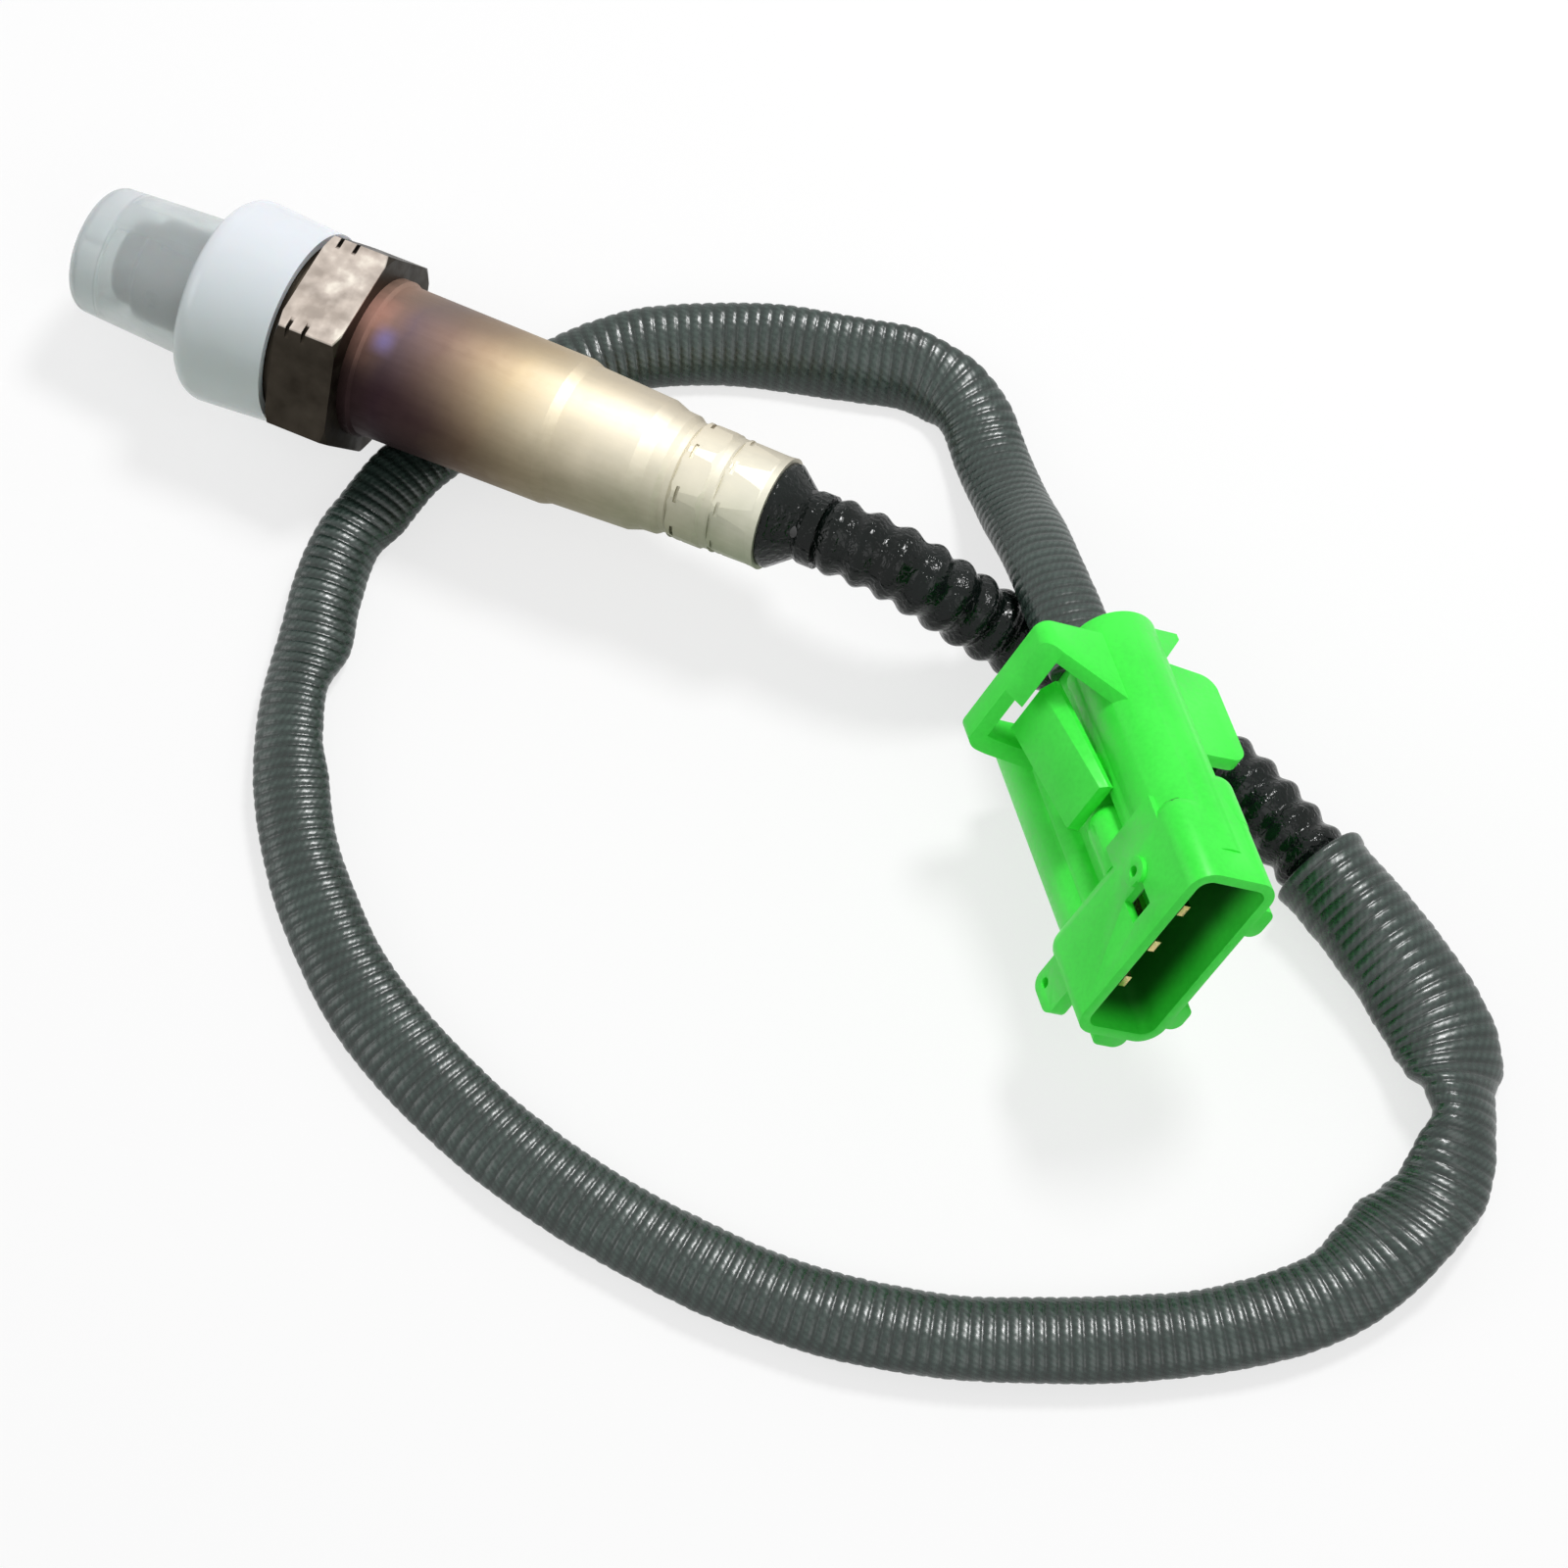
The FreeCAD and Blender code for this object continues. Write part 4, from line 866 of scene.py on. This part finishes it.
def milky_cap():
    """Clear over the probe, cloudier and bluish at the collar, with painted shade on its
    near bottom.
    """
    finish = Finish("cap_plastic", {"Transmission Weight": 0.90, "IOR": 1.30,
                                    "Specular IOR Level": 0.5})
    station = finish.along(SENSOR_AXIS, HEX_FRONT)
    toward_lit_side = finish.along(PAINTED_LIT_SIDE, HEX_FRONT)
    cloud = finish.noise(scale=60.0, detail=3.0)
    streak = finish.noise(scale=300.0, detail=4.0)
    clear = finish.ramp(cloud, [(0.3, (0.88, 0.95, 0.92)), (0.7, (0.96, 0.99, 0.98))])
    # Painted shade: the bluish collar is painted darker towards the near bottom and paler
    # towards the far top.
    bluish_and_shaded = finish.ramp((toward_lit_side * 45.0 + cloud * 0.3 + 0.35).held(),
                         [(0.15, (0.48, 0.55, 0.53)), (0.50, (0.62, 0.68, 0.70)),
                          (0.90, (0.78, 0.81, 0.86))])
    wrinkle = finish.bump(streak, strength=0.10, distance=0.4 * MM)
    soft = streak.between(0.3, 0.7, start=0.16, end=0.24)
    cloudy = finish.add("BsdfPrincipled", {}, {
        "Base Color": bluish_and_shaded, "Roughness": soft, "Normal": wrinkle,
        "Subsurface Weight": 0.10, "Subsurface Scale": 2.0 * MM})
    finish.finish(Base_Color=clear, Roughness=soft, Normal=wrinkle)
    uneven = station + (cloud - 0.5) * (1.0 * MM)
    tip = uneven.between(PROBE_TIP_STATION - 0.5 * MM, PROBE_TIP_STATION,
                         start=0.42, end=0.20)
    collar = uneven.between(CAP_NECK_STATION - 0.4 * MM, CAP_NECK_STATION + 1.2 * MM,
                            start=0.0, end=0.96)
    both = finish.add("MixShader", {}, {0: tip.most(collar)})
    mixer = both.socket.node
    finish.tree.links.new(finish.shader.outputs[0], mixer.inputs[1])
    finish.tree.links.new(cloudy.socket, mixer.inputs[2])
    finish.tree.links.new(mixer.outputs[0],
                          finish.tree.nodes["Material Output"].inputs["Surface"])
    return finish.material


paint(["protective_cap"], milky_cap())

# %% [markdown]
# ## Rubber, ceramics and small metal
# The grommet is the same glossy black as the conduit. The pieces inside the sensor and
# the plug hardly show, but each still needs a finish, because a viewer may take the model
# apart. They differ only in colours, grain and gloss, so one function makes them all.

# %% A finish for plain pieces
def plain_finish(name, dark, light, constants, grain=600.0, rough=(0.3, 0.5),
                 strength=0.1):
    finish = Finish(name, constants)
    cloud = finish.noise(scale=grain * 0.2)
    speck = finish.noise(scale=grain)
    colour = finish.ramp((cloud * 0.6 + speck * 0.4).held(), [(0.3, dark), (0.7, light)])
    return finish.finish(
        Base_Color=colour,
        Roughness=speck.between(0.3, 0.7, start=rough[0], end=rough[1]),
        Normal=finish.bump(speck, strength=strength, distance=0.2 * MM))


METAL = {"Metallic": 1.0}
paint(["rubber_grommet"], glossy_black("grommet_rubber", dust=(0.008, 0.012, 0.011)))
paint(["outer_protection_tube", "inner_protection_tube"],
      plain_finish("tube_steel", (0.030, 0.030, 0.028), (0.075, 0.075, 0.070), METAL,
                   grain=500.0, rough=(0.30, 0.45)))
paint(["spring_washer", "holder_clamp_ring"],
      plain_finish("spring_steel", (0.35, 0.35, 0.34), (0.55, 0.55, 0.54), METAL,
                   grain=500.0, rough=(0.25, 0.40)))

# %% Ceramics and the vent
paint(["lower_ceramic_support", "upper_ceramic_bush", "sensing_element",
       "contact_holder_top", "contact_holder_bottom"],
      plain_finish("ceramic", (0.70, 0.69, 0.64), (0.85, 0.84, 0.80), {},
                   grain=900.0, rough=(0.35, 0.55)))
paint(["talc_packing"],
      plain_finish("talc", (0.60, 0.59, 0.56), (0.78, 0.77, 0.73), {},
                   grain=1500.0, rough=(0.7, 0.9), strength=0.3))
paint(["vent_filter"],
      plain_finish("vent_membrane", (0.75, 0.75, 0.73), (0.88, 0.88, 0.86), {},
                   grain=3000.0, rough=(0.7, 0.9), strength=0.3))

# %% Contacts, wires and seals
paint(four("contact_clip"),
      plain_finish("contact_nickel", (0.45, 0.42, 0.36), (0.66, 0.62, 0.54), METAL,
                   rough=(0.2, 0.35)))
paint(four("sensor_wire") + four("plug_wire"),
      plain_finish("wire_insulation", (0.02, 0.02, 0.02), (0.06, 0.06, 0.06), {},
                   rough=(0.35, 0.5)))
paint(four("contact_pin"),
      plain_finish("pin_gold", (0.62, 0.46, 0.16), (0.90, 0.76, 0.42), METAL,
                   grain=800.0, rough=(0.18, 0.32)))
paint(four("wire_seal"),
      plain_finish("seal_rubber", (0.30, 0.05, 0.02), (0.45, 0.09, 0.04), {},
                   rough=(0.45, 0.6)))

# %% [markdown]
# ## The green plug
# The plug is one moulding in a bright, slightly waxy green plastic, with the faint
# mottling of a moulded surface. Its hood looks nearly black inside, where little light
# gets in. The plug's own axes are worked out first, so that a mask can tell the inside of
# the hood from the outside, and darken only that.

# %% The plug's own axes
PLUG_AT = Vector((77.55, -5.03, 14.98)) * MM
PLUG_TURN = (Matrix.Rotation(math.radians(-49.5), 3, "Z")
             @ Matrix.Rotation(math.radians(-15.0), 3, "Y")
             @ Matrix.Rotation(math.radians(56.0), 3, "X"))
PLUG_ALONG, PLUG_ACROSS, PLUG_UP = (PLUG_TURN.col[n] for n in range(3))
PLUG_LENGTH = 38.0 * MM
HOOD_INNER_START = 26.6 * MM
HOOD_INNER_HALF_WIDTH = 11.35 * MM
HOOD_INNER_HALF_HEIGHT = 4.15 * MM
HOOD_WALL_BLEND = 0.25 * MM
print("the plug points along", [round(value, 3) for value in PLUG_ALONG])

# %% Plug finish
HOOD_SHADE = (0.002, 0.012, 0.003, 1.0)


def inside_of_hood(finish):
    """How dark each spot is: 0 outside, nearly 1 deep in the hood, under its roof."""
    along = finish.along(PLUG_ALONG, PLUG_AT)
    across = finish.along(PLUG_ACROSS, PLUG_AT)
    up = finish.along(PLUG_UP, PLUG_AT)
    deep = (PLUG_LENGTH - along).between(0.6 * MM, 5.0 * MM)
    between_sides = across.size().between(
        HOOD_INNER_HALF_WIDTH, HOOD_INNER_HALF_WIDTH + HOOD_WALL_BLEND,
        start=1.0, end=0.0)
    between_faces = up.size().between(
        HOOD_INNER_HALF_HEIGHT, HOOD_INNER_HALF_HEIGHT + HOOD_WALL_BLEND,
        start=1.0, end=0.0)
    past_back = along.between(HOOD_INNER_START - 0.2 * MM, HOOD_INNER_START)
    darkness = (up + across * 0.4).between(-4.0 * MM, 5.0 * MM, start=0.86, end=0.995)
    return (deep * between_sides * between_faces * past_back * darkness).held()


def green_plastic():
    finish = Finish("green_plastic", {"Specular IOR Level": 0.35,
                                      "Subsurface Weight": 0.10,
                                      "Subsurface Radius": (0.2, 1.0, 0.2),
                                      "Subsurface Scale": 1.2 * MM})
    cloud = finish.noise(scale=90.0, detail=3.0)
    grain = finish.noise(scale=1800.0, detail=3.0)
    outside = finish.ramp((cloud * 0.7 + grain * 0.3).held(),
                          [(0.3, (0.035, 0.76, 0.045)), (0.7, (0.065, 0.93, 0.075))])
    return finish.finish(
        Base_Color=finish.blend(inside_of_hood(finish), outside, HOOD_SHADE),
        Roughness=grain.between(0.3, 0.7, start=0.34, end=0.48),
        Normal=finish.bump(grain, strength=0.06, distance=0.2 * MM))


green = green_plastic()
paint(["plug_housing", "seal_retainer"], green)

# %% [markdown]
# ## Softer edges for the moulding
# A moulding has small rounds on all its edges, and they catch the light. The solid's
# edges are sharp. A round on each of them in the solid would be fragile when a size
# changes, so a merged copy of its mesh is bevelled here. Flat faces are first joined
# again, because a bevel on their loose triangles would tear.

# %% Bevelled copy of the plug
SOFT_EDGE = 0.35 * MM
SHARP_ANGLE = math.radians(35.0)
FLAT_ANGLE = math.radians(1.0)


def joined_mesh(name, new_name):
    """The mesh of a solid with its triangles merged and its flat faces joined."""
    source = nodes[name]
    work = bmesh.new()
    work.from_mesh(source.data)
    bmesh.ops.transform(work, matrix=source.matrix_world, verts=work.verts)
    bmesh.ops.remove_doubles(work, verts=work.verts, dist=2 * DOUBLES_WITHIN)
    bmesh.ops.dissolve_limit(work, angle_limit=FLAT_ANGLE, verts=work.verts,
                             edges=work.edges)
    mesh = bpy.data.meshes.new(new_name)
    work.to_mesh(mesh)
    work.free()
    return mesh


def softened(name, new_name, width):
    """A bevelled copy of a solid's mesh, as a new object."""
    holder = bpy.data.objects.new(new_name, joined_mesh(name, new_name))
    bpy.context.collection.objects.link(holder)
    bevel = holder.modifiers.new("soft edges", "BEVEL")
    bevel.width = width
    bevel.segments = 2
    bevel.limit_method = "ANGLE"
    bevel.angle_limit = SHARP_ANGLE
    bevel.use_clamp_overlap = True
    piece = baked(holder, new_name)
    outward(piece)
    piece.data.shade_smooth()
    piece.data.set_sharp_from_angle(angle=SHARP_ANGLE)
    return piece


soft_plug = softened("plug_housing", "plug_moulding", SOFT_EDGE)
soft_plug.data.materials.clear()
soft_plug.data.materials.append(green)
print("plug moulding faces:", len(soft_plug.data.polygons))
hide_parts("plug_housing")
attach(soft_plug, "root")
